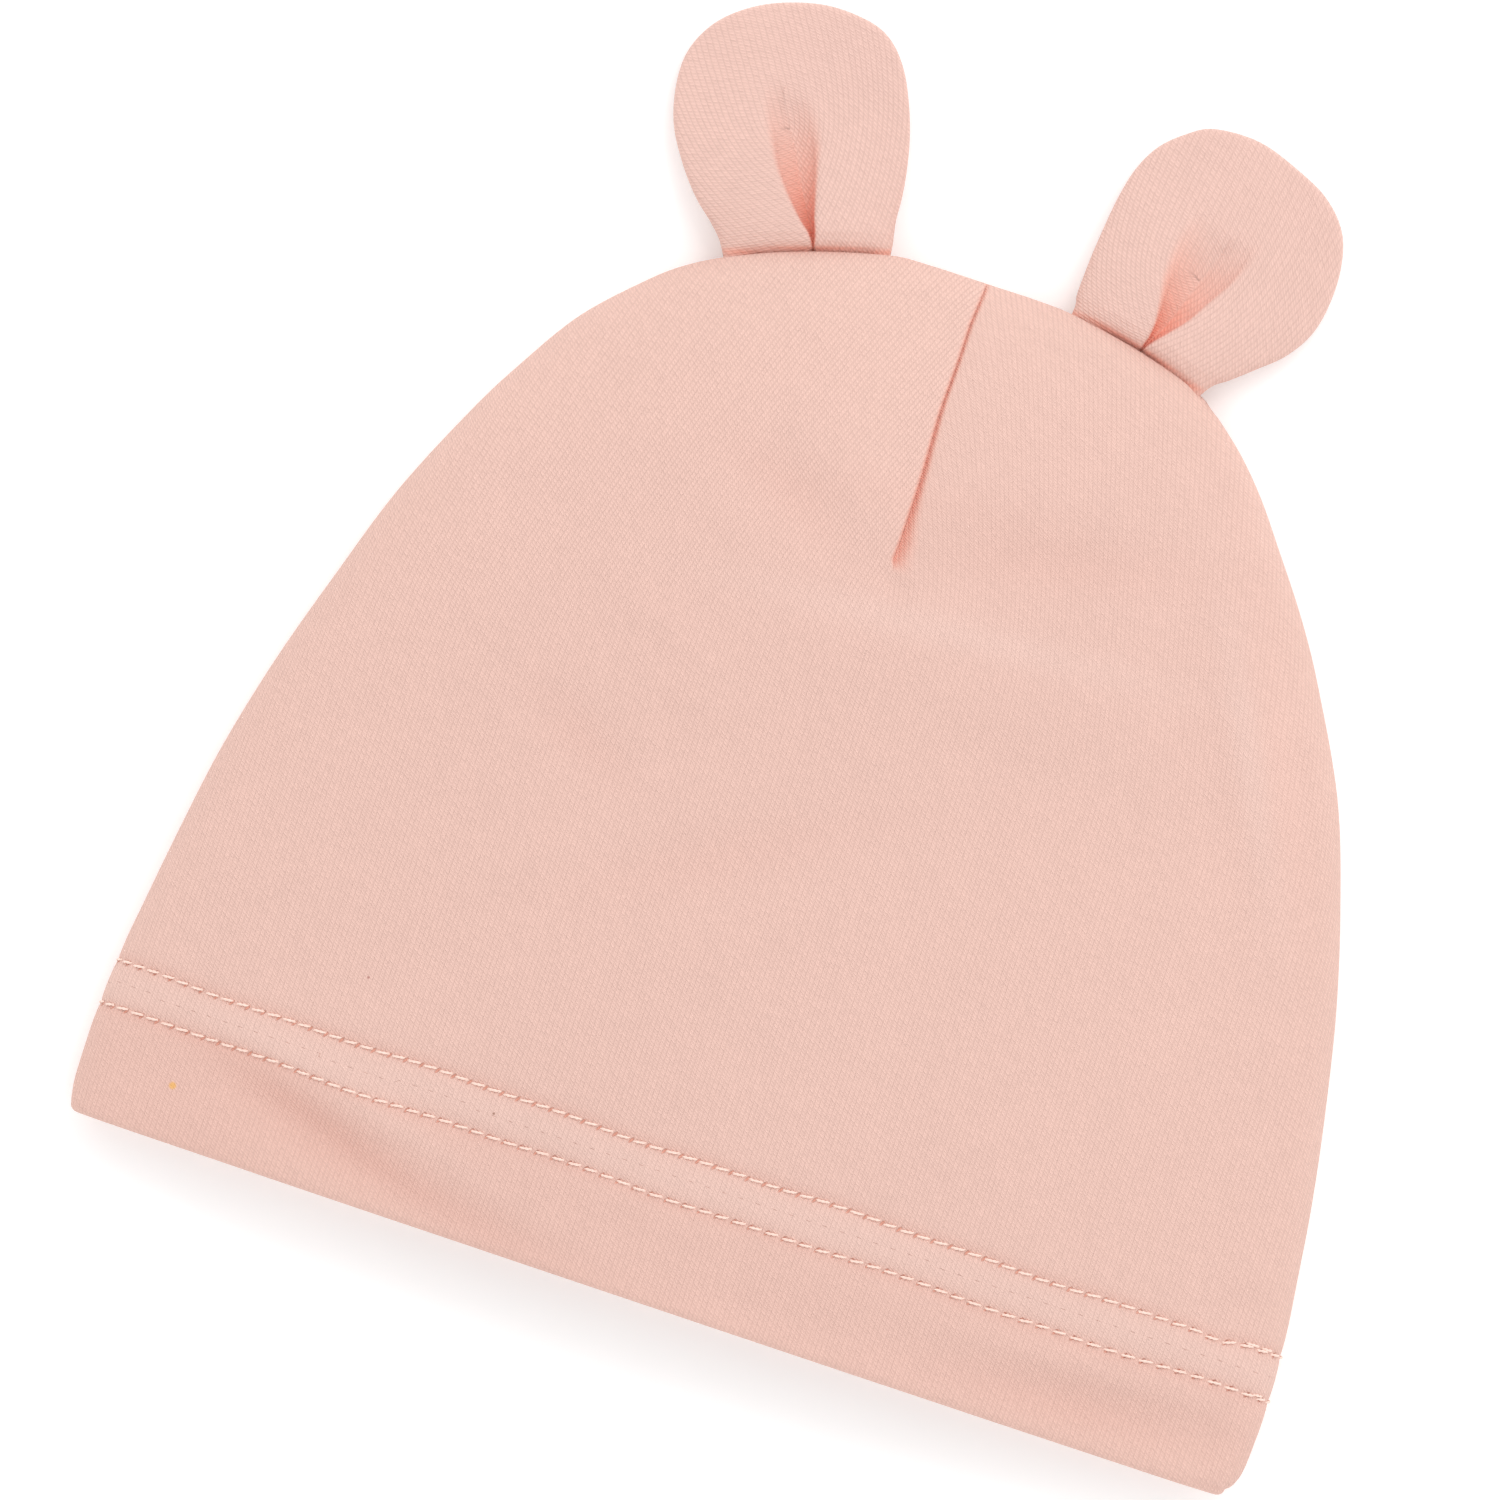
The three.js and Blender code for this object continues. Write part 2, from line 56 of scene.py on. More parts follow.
# Outline of the body from hem to crown: left edge, right edge, height on the centre line, opening of the seam for an ear.
BODY = np.array(
    [
        [-85.9, 0.0, 84.0, 0.0, 0.0, 0],
        [-87.15, 1.0, 85.7, 1.0, 1.0, 0],
        [-87.55, 2.4, 86.95, 2.4, 2.4, 0],
        [-87.9, 5.7, 87.7, 5.7, 5.7, 0],
        [-87.88, 14.2, 87.87, 14.2, 14.2, 0],
        [-87.2, 25.0, 87.27, 25.0, 25.0, 0],
        [-86.28, 33.0, 86.35, 33.0, 32.6, 0],
        [-84.83, 44.0, 84.9, 44.0, 42.8, 0],
        [-82.8, 56.8, 82.63, 56.8, 53.9, 0],
        [-79.44, 71.0, 79.57, 71.0, 65.2, 0],
        [-75.14, 85.2, 75.47, 85.2, 75.0, 0],
        [-70.44, 99.4, 70.34, 99.4, 83.0, 0],
        [-64.03, 113.6, 62.78, 113.6, 88.8, 0],
        [-59.38, 122.1, 57.46, 122.1, 91.4, 0],
        [-53.97, 130.6, 51.19, 130.6, 93.4, 0],
        [-47.6, 137.4, 45.9, 137.4, 94.8, 0],
        [-41.9, 142.3, 40.2, 143.1, 95.8, 0],
        [-34.3, 146.5, 33.2, 148.05, 96.6, 1],
        [-24.7, 150.2, 23.8, 151.1, 97.3, 1],
        [-14.4, 152.95, 13.2, 153.05, 97.75, 1],
        [-8.8, 153.35, 7.4, 153.4, 98.0, 0],
        [-1.6, 153.4, 1.6, 153.4, 98.15, 0],
        [0.0, 153.4, 0.0, 153.4, 98.2, 0],
    ]
)
LX, LY, RX, RY, SY, OPEN = range(6)

# Soft folds and dents of the front: middle, direction of the long axis in degrees, half length, half width, height.
FOLDS = [
    (21.5, 118.0, 14, 17.0, 6.0, -1.6),
    (-15.0, 115.5, -28, 11.0, 5.2, -1.2),
    (0.6, 108.6, 0, 3.0, 2.6, -0.7),
    (12.0, 98.0, 4, 30.0, 8.5, 1.4),
    (59.0, 99.0, -64, 22.0, 4.6, 1.5),
    (46.0, 104.0, -60, 20.0, 5.0, -0.7),
    (68.0, 92.0, -66, 20.0, 4.0, -0.6),
    (-25.5, 91.5, -24, 14.0, 3.2, 0.7),
    (-21.5, 84.5, -15, 9.0, 2.6, 0.5),
    (-34.5, 74.0, -28, 9.0, 4.2, -0.9),
    (-10.0, 64.0, 31, 20.0, 6.0, -1.0),
    (20.0, 90.0, -5, 11.0, 4.0, -0.3),
    (-76.0, 54.0, -75, 11.0, 5.0, -0.6),
    (-52.0, 8.0, -17, 19.0, 3.4, -1.7),
    (-44.0, 13.6, -14, 20.0, 3.0, 1.0),
    (-62.0, 3.0, -6, 16.0, 2.6, 0.6),
    (-22.0, 3.5, -8, 13.0, 2.6, -0.5),
    (62.0, 6.0, 3, 20.0, 4.0, -1.3),
    (60.0, 11.5, 2, 20.0, 2.8, 0.7),
    (78.0, 26.0, 10, 9.0, 3.0, -0.5),
    (20.0, 5.0, 6, 16.0, 3.0, -0.4),
]

# Ears from the tab in the seam to the top: left edge, spine of the pleat, right edge; depth of the hollow; its half width on the left and on the right of
# the spine; how soft its left and right lips are, from 0 for a crisp fold to 1 for a dent.
LEFT_EAR = np.array(
    [
        # lx     ly      sx     sy      rx     ry     deep  wl   wr   sl   sr
        [-35.2, 141.2, -23.6, 145.6, -13.7, 148.7, 0.0, 0.3, 0.3, 0.0, 0.0],
        [-37.9, 146.4, -25.1, 150.2, -14.2, 153.95, 1.0, 0.05, 0.05, 0.0, 0.0],
        [-40.2, 149.0, -25.8, 152.1, -14.5, 155.6, 2.9, 0.5, 0.25, 0.0, 0.0],
        [-43.6, 152.0, -27.1, 154.0, -14.9, 158.0, 3.7, 1.3, 0.8, 0.1, 0.0],
        [-47.0, 156.2, -28.7, 156.6, -15.1, 161.2, 3.6, 2.2, 1.6, 0.25, 0.15],
        [-49.8, 161.0, -30.4, 159.5, -15.7, 165.2, 3.2, 2.9, 2.4, 0.4, 0.3],
        [-51.2, 166.5, -32.0, 162.6, -16.7, 169.5, 2.6, 3.2, 2.9, 0.6, 0.5],
        [-51.1, 171.5, -33.5, 165.3, -18.3, 174.0, 1.9, 3.2, 2.8, 0.85, 0.8],
        [-49.0, 176.1, -34.8, 167.4, -20.6, 178.6, 1.2, 3.0, 2.6, 0.9, 0.85],
        [-45.3, 179.7, -35.6, 168.9, -23.6, 182.0, 0.5, 2.8, 2.4, 1.0, 1.0],
        [-40.3, 182.4, -36.0, 169.9, -27.4, 183.7, 0.15, 2.4, 2.2, 1.0, 1.0],
        [-33.8, 184.05, -36.1, 170.5, -33.8, 184.05, 0.0, 2.0, 2.0, 1.0, 1.0],
    ]
)
RIGHT_EAR = np.array(
    [
        [11.9, 148.3, 22.4, 146.0, 31.7, 143.3, 0.0, 0.3, 0.3, 0.0, 0.0],
        [12.5, 153.95, 23.6, 150.9, 34.7, 148.85, 1.0, 0.05, 0.05, 0.0, 0.0],
        [12.25, 155.8, 24.5, 153.0, 37.3, 151.05, 2.9, 0.35, 0.45, 0.0, 0.0],
        [12.3, 158.4, 25.6, 155.0, 40.5, 153.8, 3.7, 1.2, 1.1, 0.15, 0.0],
        [12.5, 162.0, 26.5, 157.4, 43.7, 156.75, 3.6, 2.1, 2.2, 0.4, 0.05],
        [12.9, 166.2, 27.4, 160.2, 46.2, 160.7, 3.2, 3.2, 3.0, 0.65, 0.1],
        [13.5, 170.9, 28.4, 163.0, 47.3, 165.4, 2.7, 4.0, 3.9, 0.85, 0.25],
        [14.6, 175.5, 29.2, 165.4, 47.3, 171.0, 2.0, 4.6, 4.5, 0.95, 0.5],
        [16.6, 179.4, 29.8, 167.2, 45.9, 176.0, 1.4, 4.8, 4.6, 0.95, 0.8],
        [19.7, 182.4, 30.2, 168.5, 42.6, 179.8, 0.6, 4.6, 4.4, 1.0, 1.0],
        [23.6, 184.6, 30.5, 169.3, 38.0, 182.35, 0.2, 4.2, 4.0, 1.0, 1.0],
        [30.6, 184.85, 30.6, 169.8, 30.6, 184.85, 0.0, 3.6, 3.6, 1.0, 1.0],
    ]
)
# Both ears, by the distance from the crown seam: height of the middle layer, and how far front and back stand from it.
EAR_PROFILE = np.array(
    [
        [-6.0, 4.8, 1.0, 1.0],
        [-0.1, 4.8, 1.0, 1.0],
        [0.25, 4.8, 2.2, 1.9],
        [0.6, 4.8, 2.75, 2.3],
        [1.3, 4.8, 3.35, 2.7],
        [2.6, 4.8, 3.8, 3.0],
        [4.2, 4.75, 3.8, 3.2],
        [8.0, 4.6, 3.5, 3.0],
        [14.0, 4.1, 2.8, 2.4],
        [20.0, 3.4, 2.3, 2.0],
        [27.0, 2.6, 2.0, 1.8],
        [36.0, 1.9, 1.8, 1.6],
    ]
)
EAR_EDGE = 1.4


# ---------------------------------------------------------------- curves through the tables
def smooth(t):
    t = np.clip(t, 0, 1)
    return t * t * (3 - 2 * t)


def quarter(t):
    return np.sqrt(np.maximum(0, 1 - (1 - np.clip(t, 0, 1)) ** 2))


def unit(v):
    return v / np.maximum(np.linalg.norm(v, axis=-1, keepdims=True), 1e-12)


def catmull(table, name, s, mirrored=None):
    """A smooth curve through one column of a table. Beyond the last line an edge runs on as the other side's."""
    col = table[:, name]
    other = table[:, name if mirrored is None else mirrored]
    n = len(col) - 1
    ext = np.concatenate([[2 * col[0] - col[1]], col, [other[n - 1], other[n - 2]]])
    i = np.clip(np.floor(s).astype(int), 0, n)
    t = s - i
    a, b, c, d = ext[i], ext[i + 1], ext[i + 2], ext[i + 3]
    return 0.5 * (2 * b + (c - a) * t + (2 * a - 5 * b + 4 * c - d) * t**2 + (3 * b - 3 * c + d - a) * t**3)


def straight(table, name, s):
    return np.interp(s, np.arange(len(table)), table[:, name])


def ear_opening(edge):
    """How far the crown seam is opened for an ear at its edge points: 0 outside the ear's corners, 1 a little inside them."""
    x, high = edge[..., 0], edge[..., 1] > 130
    left = smooth((x + 37.75) / 1.7) * smooth((-14.0 - x) / 1.7)
    right = smooth((x - 12.3) / 1.7) * smooth((33.75 - x) / 1.7)
    return np.maximum(left, right) * high


def body_rows(s):
    """Edge points, inward normals of the edges, centre points and seam openings of the rows at s."""
    s = np.asarray(s, float)
    n = len(BODY) - 1

    def ends(q):
        left = np.stack([catmull(BODY, LX, q, RX), catmull(BODY, LY, q, RY)], -1)
        right = np.stack([catmull(BODY, RX, q, LX), catmull(BODY, RY, q, LY)], -1)
        return left, right

    left, right = ends(s)
    l0, r0 = ends(s - 0.01)
    l1, r1 = ends(s + 0.01)
    dl, dr = unit(l1 - l0), unit(r1 - r0)
    nl = np.stack([dl[..., 1], -dl[..., 0]], -1)
    nr = np.stack([-dr[..., 1], dr[..., 0]], -1)
    top = (s > n - 1e-6)[..., None]
    nl = np.where(top, [0.0, -1.0], nl)
    nr = np.where(top, [0.0, -1.0], nr)
    centre = np.stack([np.zeros_like(s), catmull(BODY, SY, s)], -1)
    return {-1: (left, nl), 1: (right, nr), "centre": centre, "open": {-1: ear_opening(left), 1: ear_opening(right)}}


_dense = np.linspace(0, 6, 2401)
_dense_y = catmull(BODY, LY, _dense)


def row_at_height(y):
    return np.interp(y, _dense_y, _dense)


def hem_rise(x, y):
    return (1.0 + (0.1 - 1.0) * (x + 88) / 176) * (1 - smooth(y / 40))


def seam_opening(o):
    return SEAM_GAP + o * (TAB / 2 + 0.04)


def folds(x, y):
    z = np.zeros_like(x)
    for fx, fy, turn, long, wide, high in FOLDS:
        a = math.radians(turn)
        along = ((x - fx) * math.cos(a) + (y - fy) * math.sin(a)) / long
        across = (-(x - fx) * math.sin(a) + (y - fy) * math.cos(a)) / wide
        z += high * np.exp(-(along**2) - across**2)
    return z


_waves = []
for _ in range(26):
    _length = RNG.uniform(11, 38)
    _turn = RNG.uniform(0, math.pi)
    _waves.append((2 * math.pi / _length * math.cos(_turn), 2 * math.pi / _length * math.sin(_turn), RNG.uniform(0, 6.28), 0.0011 * _length))


def unevenness(x, y):
    """Slight, slow unevenness of soft cloth, in millimetres."""
    z = np.zeros_like(x)
    for kx, ky, phase, high in _waves:
        z += high * np.sin(kx * x + ky * y + phase)
    return z


# ---------------------------------------------------------------- the two stitch rows
def stitch_height(x, row):
    """Height of a stitch row above the hem at x: row 0 is the lower one, 1 the upper one."""
    t = (x + 86.6) / 173.2
    low = 16.9 + (15.05 - 16.9) * t + 0.18 * np.sin(t * 21) + 0.1 * np.sin(t * 47 + 1)
    up = 23.3 + (21.5 - 23.3) * t + 0.16 * np.sin(t * 19 + 2) + 0.1 * np.sin(t * 53)
    up = up - 0.55 * np.exp(-(((x - 78.0) / 2.4) ** 2))
    return np.where(row == 0, low, up)


def stitch_phase(x):
    """Number of stitches from the middle to x. The pitch grows from 2.3 mm on the left to 2.65 mm on the right."""
    # integral of 1 / (2.475 + 0.002 x)
    return np.log((2.475 + 0.002 * x) / 2.475) / 0.002


def stitch_x(phase):
    return 2.475 * (np.exp(0.002 * phase) - 1) / 0.002


def hem_relief(x, y):
    """Relief of the outer face along the two stitch rows, in millimetres: a groove along each, pulled in at the needle holes, and a puffed band between."""
    z = np.zeros_like(x)
    lo, up = stitch_height(x, 0), stitch_height(x, 1)
    for row, yr in ((0, lo), (1, up)):
        d = y - yr
        holes = 0.5 + 0.5 * np.cos(2 * np.pi * stitch_phase(x))
        z -= (0.16 + 0.12 * holes) * np.exp(-((d / 0.6) ** 2))
        z -= 0.1 * np.exp(-((d / 1.6) ** 2))
    mid, half = (lo + up) / 2, (up - lo) / 2
    t = np.clip((y - mid) / half, -1, 1)
    z += 0.32 * (1 - t * t) ** 0.8
    below = np.clip((lo - y) / 6.0, 0, 1)
    z += 0.16 * np.sin(np.pi * below) * (y < lo)
    above = np.clip((y - up) / 7.0, 0, 1)
    z += 0.1 * np.sin(np.pi * above) * (y > up)
    return z


# ---------------------------------------------------------------- the front and back faces
def front_point(edge, normal, centre, opening, along, relief=True):
    """Points of the front's outer face, `along` from an edge towards the centre line. The last axis is x, y, z; also the distance in from the edge."""
    way = centre - edge
    length = np.linalg.norm(way, axis=-1)
    facing = np.maximum(0.5, (unit(way) * normal).sum(-1))
    share = along / length
    x = edge[..., 0] + way[..., 0] * share
    y = edge[..., 1] + way[..., 1] * share
    inward = along * facing
    out = np.clip(1 - share, 0, 1)
    gap = seam_opening(opening)
    level = centre[..., 1] + 4 * np.exp(-centre[..., 1] / 4)  # the front runs level into its folded edge
    dome = DOME_AT_CROWN + (DOME_AT_HEM - DOME_AT_CROWN) * np.clip(1 - level / DOME_Y, 0, 1) ** DOME_POWER
    z = SEAM_Z + gap + (ROLL_UP - gap) * quarter(inward / ROLL_IN) + dome * (1 - out**DOME_POWER)
    if relief:
        z = z + (folds(x, y) + unevenness(x, y)) * smooth(inward / 7)
    return np.stack([x, y + hem_rise(x, y), z], -1), inward


def back_point(edge, normal, centre, opening, along):
    way = centre - edge
    length = np.linalg.norm(way, axis=-1)
    facing = np.maximum(0.5, (unit(way) * normal).sum(-1))
    share = along / length
    x = edge[..., 0] + way[..., 0] * share
    y = edge[..., 1] + way[..., 1] * share
    inward = along * facing
    z = (SEAM_Z - seam_opening(opening)) * (1 - quarter(inward / BACK_ROLL))
    return np.stack([x, y + hem_rise(x, y), z], -1), inward


def panel_grid(s, ring, inner, roll, point):
    """A grid of points over one face: rows at s, and columns from the left edge over the centre line to the right edge."""
    rows = body_rows(s)
    halves = []
    for side in (-1, 1):
        edge, normal = rows[side]
        way = rows["centre"] - edge
        length = np.linalg.norm(way, axis=-1)
        facing = np.maximum(0.5, (unit(way) * normal).sum(-1))
        k = np.arange(ring + 1) / ring
        a = roll * (1 - np.cos(np.pi / 2 * k))[None, :] / facing[:, None]
        m = np.arange(1, inner + 1) / inner
        b = (roll / facing)[:, None] + (length - roll / facing)[:, None] * m[None, :]
        along = np.concatenate([a, b], 1)
        shape = along.shape
        spread = lambda v: np.broadcast_to(v[:, None, :], shape + (2,))
        p, inward = point(spread(edge), spread(normal), spread(rows["centre"]), np.broadcast_to(rows["open"][side][:, None], shape), along)
        halves.append((p, inward))
    p = np.concatenate([halves[0][0], halves[1][0][:, ::-1][:, 1:]], 1)
    inward = np.concatenate([halves[0][1], halves[1][1][:, ::-1][:, 1:]], 1)
    return p, inward


def weld_ids(points, tol=1e-4):
    """A number for each point, the same for points that fall together."""
    key = np.round(points.reshape(-1, 3) / tol).astype(np.int64)
    _, ids = np.unique(key, axis=0, return_inverse=True)
    return ids.reshape(points.shape[:-1])


def grid_normals(p, up):
    """Normals of a grid, the sum of the faces round each point; points that fall together share one."""
    ids = weld_ids(p)
    sums = np.zeros((ids.max() + 1, 3))
    a, b, c, d = p[:-1, :-1], p[:-1, 1:], p[1:, 1:], p[1:, :-1]
    ia, ib, ic, id_ = ids[:-1, :-1], ids[:-1, 1:], ids[1:, 1:], ids[1:, :-1]
    for u, v, w, iu, iv, iw in ((a, b, c, ia, ib, ic), (a, c, d, ia, ic, id_), (a, b, d, ia, ib, id_), (b, c, d, ib, ic, id_)):
        n = np.cross(v - u, w - u)
        for k in (iu, iv, iw):
            np.add.at(sums, k.ravel(), n.reshape(-1, 3))
    return unit(sums[ids] * up)


# ---------------------------------------------------------------- meshes
def to_frame(points):
    q = np.array(points, float).reshape(-1, 3).copy()
    q[:, 1] -= MID_Y
    return q / 1000.0


def bridge(ia, pa, ib, pb):
    """Triangles between two lines of vertices with different steps."""
    out = []
    i = j = 0
    while i < len(ia) - 1 or j < len(ib) - 1:
        if j == len(ib) - 1 or (i < len(ia) - 1 and pa[i + 1] <= pb[j + 1]):
            out.append((ia[i], ia[i + 1], ib[j]))
            i += 1
        else:
            out.append((ia[i], ib[j + 1], ib[j]))
            j += 1
    return out


def make_mesh(name, points, faces, uvs=None, recalc=True, sharp=None):
    """faces is a list of arrays of corners, triangles or quads. uvs is {name: array of one pair a face corner}, in the order of the faces."""
    me = bpy.data.meshes.new(name)
    points = to_frame(points)
    counts = np.concatenate([np.full(len(f), f.shape[1]) for f in faces])
    corners = np.concatenate([f.ravel() for f in faces])
    me.vertices.add(len(points))
    me.vertices.foreach_set("co", points.astype(np.float32).ravel())
    me.loops.add(len(corners))
    me.loops.foreach_set("vertex_index", corners.astype(np.int32))
    me.polygons.add(len(counts))
    starts = np.concatenate([[0], np.cumsum(counts)[:-1]])
    me.polygons.foreach_set("loop_start", starts.astype(np.int32))
    me.polygons.foreach_set("use_smooth", np.ones(len(counts), bool))
    me.update(calc_edges=True)
    for label, values in (uvs or {}).items():
        layer = me.uv_layers.new(name=label)
        layer.data.foreach_set("uv", values.astype(np.float32).ravel())
    me.validate(clean_customdata=False)
    ob = bpy.data.objects.new(name, me)
    bpy.context.scene.collection.objects.link(ob)
    if recalc:
        bm = bmesh.new()
        bm.from_mesh(me)
        bmesh.ops.recalc_face_normals(bm, faces=bm.faces)
        bm.to_mesh(me)
        bm.free()
    return ob


def closed_wall(name, A, B, uvA, uvB, step, split=None, A_ids=None):
    """A closed wall from an outer grid A and an inner grid B, which has every step-th row and column of A. uvA and uvB are {name: grid of pairs}. The last
    row's two halves fall together; split, if given, is a mask of the last row's points of A where they are kept apart. It returns the object."""
    ra, ca = A.shape[:2]
    rows_b = list(range(0, ra - 1, step)) + [ra - 1]
    cols_b = list(range(0, ca, step))
    assert cols_b[-1] == ca - 1 and (ca - 1) // 2 in cols_b
    B = B[np.ix_(rows_b, cols_b)]
    rb, cb = B.shape[:2]

    def number(r, c, first, apart):
        ids = first + np.arange(r * c).reshape(r, c)
        half = (c - 1) // 2
        for j in range(half):
            if not apart[j]:
                ids[r - 1, c - 1 - j] = ids[r - 1, j]
        return ids

    apart_a = np.zeros(ca, bool) if split is None else split
    apart_b = apart_a[cols_b]
    ia = number(ra, ca, 0, apart_a)
    ib = number(rb, cb, ra * ca, apart_b)
    points = np.concatenate([A.reshape(-1, 3), B.reshape(-1, 3)])

    def quads(ids, flip):
        left = np.arange(ids.shape[1] - 1) < (ids.shape[1] - 1) // 2
        a, b, c, d = ids[:-1, :-1], ids[:-1, 1:], ids[1:, 1:], ids[1:, :-1]
        q = np.stack([a, b, c, d], -1)
        if flip:
            q = q[..., ::-1]
        return q.reshape(-1, 4)

    def corner_uvs(grid, flip):
        a, b, c, d = grid[:-1, :-1], grid[:-1, 1:], grid[1:, 1:], grid[1:, :-1]
        q = np.stack([a, b, c, d], -2)
        if flip:
            q = q[..., ::-1, :]
        return q.reshape(-1, 2)

    qa, qb = quads(ia, False), quads(ib, True)
    pa, pb = np.arange(ra), np.array(rows_b)
    ja, jb = np.arange(ca), np.array(cols_b)
    rims = []
    rims += bridge(ia[:, 0], pa, ib[:, 0], pb)
    rims += bridge(ia[:, -1], pa, ib[:, -1], pb)
    rims += bridge(ia[0], ja, ib[0], jb)
    if apart_a.any():
        ka = int(np.argmin(apart_a[: (ca + 1) // 2]))  # first point of the last row whose halves are joined
        kb = int(np.argmin(apart_b[: (cb + 1) // 2]))
        rims += bridge(ia[-1, : ka + 1], ja[: ka + 1], ib[-1, : kb + 1], jb[: kb + 1])
        rims += bridge(ia[-1, ::-1][: ka + 1], ja[: ka + 1], ib[-1, ::-1][: kb + 1], jb[: kb + 1])
    rims = np.array(rims)
    flat = {}
    for label in uvA:
        gridA, gridB = uvA[label], uvB[label][np.ix_(rows_b, cols_b)]
        per_vertex = np.concatenate([gridA.reshape(-1, 2), gridB.reshape(-1, 2)])
        flat[label] = (corner_uvs(gridA, False), corner_uvs(gridB, True), per_vertex[rims].reshape(-1, 2))

    def proper(f):
        keep = np.array([len(set(row)) == len(row) for row in f.tolist()])
        return keep

    # quads that lost a corner by joining become triangles
    faces, uv_parts = [], {k: [] for k in flat}
    for block, index in ((qa, 0), (qb, 1), (rims, 2)):
        n = block.shape[1]
        unique = (block[:, :, None] == block[:, None, :]).sum((1, 2)) == n
        good = block[unique]
        if len(good):
            faces.append(good)
            for k in flat:
                uv_parts[k].append(flat[k][index].reshape(-1, n, 2)[unique].reshape(-1, 2))
        if n == 4:
            tri, tri_uv = [], {k: [] for k in flat}
            for row in np.where(~unique)[0]:
                seen, corner = [], []
                for k in range(4):
                    if block[row, k] not in seen:
                        seen.append(block[row, k])
                        corner.append(k)
                if len(seen) == 3:
                    tri.append(seen)
                    for key in flat:
                        tri_uv[key].append(flat[key][index].reshape(-1, 4, 2)[row, corner])
            if tri:
                faces.append(np.array(tri))
                for key in flat:
                    uv_parts[key].append(np.array(tri_uv[key]).reshape(-1, 2))
    used, renumber = np.unique(np.concatenate([f.ravel() for f in faces]), return_inverse=True)
    out, at = [], 0
    for f in faces:
        out.append(renumber[at : at + f.size].reshape(f.shape))
        at += f.size
    return make_mesh(name, points[used], out, {k: np.concatenate(v) for k, v in uv_parts.items()})


# ---------------------------------------------------------------- front cloth
def dart_amount(y):
    """How far the dart is closed to a crease at y: 0 at its end, 1 a little above."""
    return smooth((y - DART_END + 0.2) / 2.2)


LIP_Y = np.array([109.0, 110.5, 111.5, 114.6, 121.7, 125.3, 132.5, 135.0, 141.4, 147.0, 152.8, 154.0])
LIP_X = np.array([0.0, -0.35, -0.53, -0.36, -0.36, -0.45, -0.78, -0.78, -0.60, -0.60, -0.10, -0.05])
POCKET_Y = np.array([109.5, 111.0, 114.6, 118.0, 121.7, 126.0, 131.0, 136.0, 154.0])
POCKET_W = np.array([1.9, 2.0, 1.85, 1.3, 0.95, 0.8, 0.7, 0.55, 0.5])


def dart_shape(x, y, side):
    """Displacement (x and z) by the dart of points on one side of it, given before it was sewn."""
    q = np.abs(x)
    m = dart_amount(y)
    near = np.exp(-((q / 3.5) ** 2))
    lip = np.interp(y, LIP_Y, LIP_X)
    depth = np.interp(y, [110, 113, 125, 140, 154], [0.6, 0.75, 0.65, 0.5, 0.4]) * m
    if side < 0:
        u = np.clip(1 - q / 0.6, 0, 1)
        drop = depth * (1 - np.sqrt(np.maximum(0, 1 - u * u)))
        proud = 0.2 * m * np.exp(-(((q - 1.3) / 1.3) ** 2))
        return lip * near * m, proud - drop - 0.25 * m * np.exp(-((q / 2.5) ** 2))
    w = np.interp(y, POCKET_Y, POCKET_W)
    drop = (depth + 0.15 * m) * (1 - smooth(q / w)) + 0.45 * m * np.exp(-((q / 2.6) ** 2))
    return (lip + 0.05) * near * m, -drop


def knit_uv(x, y, side):
    """Across and along the wales of the front, in millimetres. Above the dart's end they lean towards it, most beside it."""
    r = np.abs(x)
    from_y = 108.0 - 22.0 * smooth(r / 60.0)
    lean = 4.0 * np.log1p(np.exp(np.clip((y - from_y) / 4.0, -30, 30)))
    g = 1 - 0.9 * np.clip(r / 90.0, 0, 1)
    if side < 0:
        return x - 0.48 * lean * g
    return x + 0.41 * lean * g


RING, INNER, STEP = 14, 130, 3
# rows: over the hem by height, then by even steps, then close together beside the dart
hem_y = np.concatenate([[FOLD / 2], np.arange(1.7, 26.01, 0.5)])
s_hem = row_at_height(hem_y)
s_body = np.linspace(s_hem[-1], 20, 2000)
_r = body_rows(s_body)
_speed = 0.42 * np.linalg.norm(np.diff(_r[-1][0], axis=0), axis=1) + 0.58 * np.linalg.norm(np.diff(_r["centre"], axis=0), axis=1) + 0.003
_travel = np.concatenate([[0], np.cumsum(_speed)])
s_body = np.interp(np.linspace(0, _travel[-1], 142), _travel, s_body)[1:]
_q = np.linspace(20, 22, 4001)
_qx = -catmull(BODY, LX, _q, RX)
s_dart = np.interp(-np.array([8.0, 7.2, 6.4, 5.7, 5.0, 4.4, 3.8, 3.3, 2.8, 2.4, 2.0, 1.65, 1.35, 1.1, 0.88, 0.68, 0.5, 0.35, 0.22, 0.12, 0.05, 0]), -_qx, _q)
s_main = np.concatenate([s_hem, s_body, s_dart])
n_hem = len(s_hem)

S0, INW = panel_grid(s_main, RING, INNER, ROLL_IN, front_point)
ROWS, COLS = S0.shape[:2]
HALF = (COLS - 1) // 2
N0 = grid_normals(S0, 1)
N0[:n_hem, :, 1] *= smooth(hem_y / 9.0)[:, None]
N0[:, 0, 2] = N0[:, -1, 2] = 0
N0 = unit(N0)

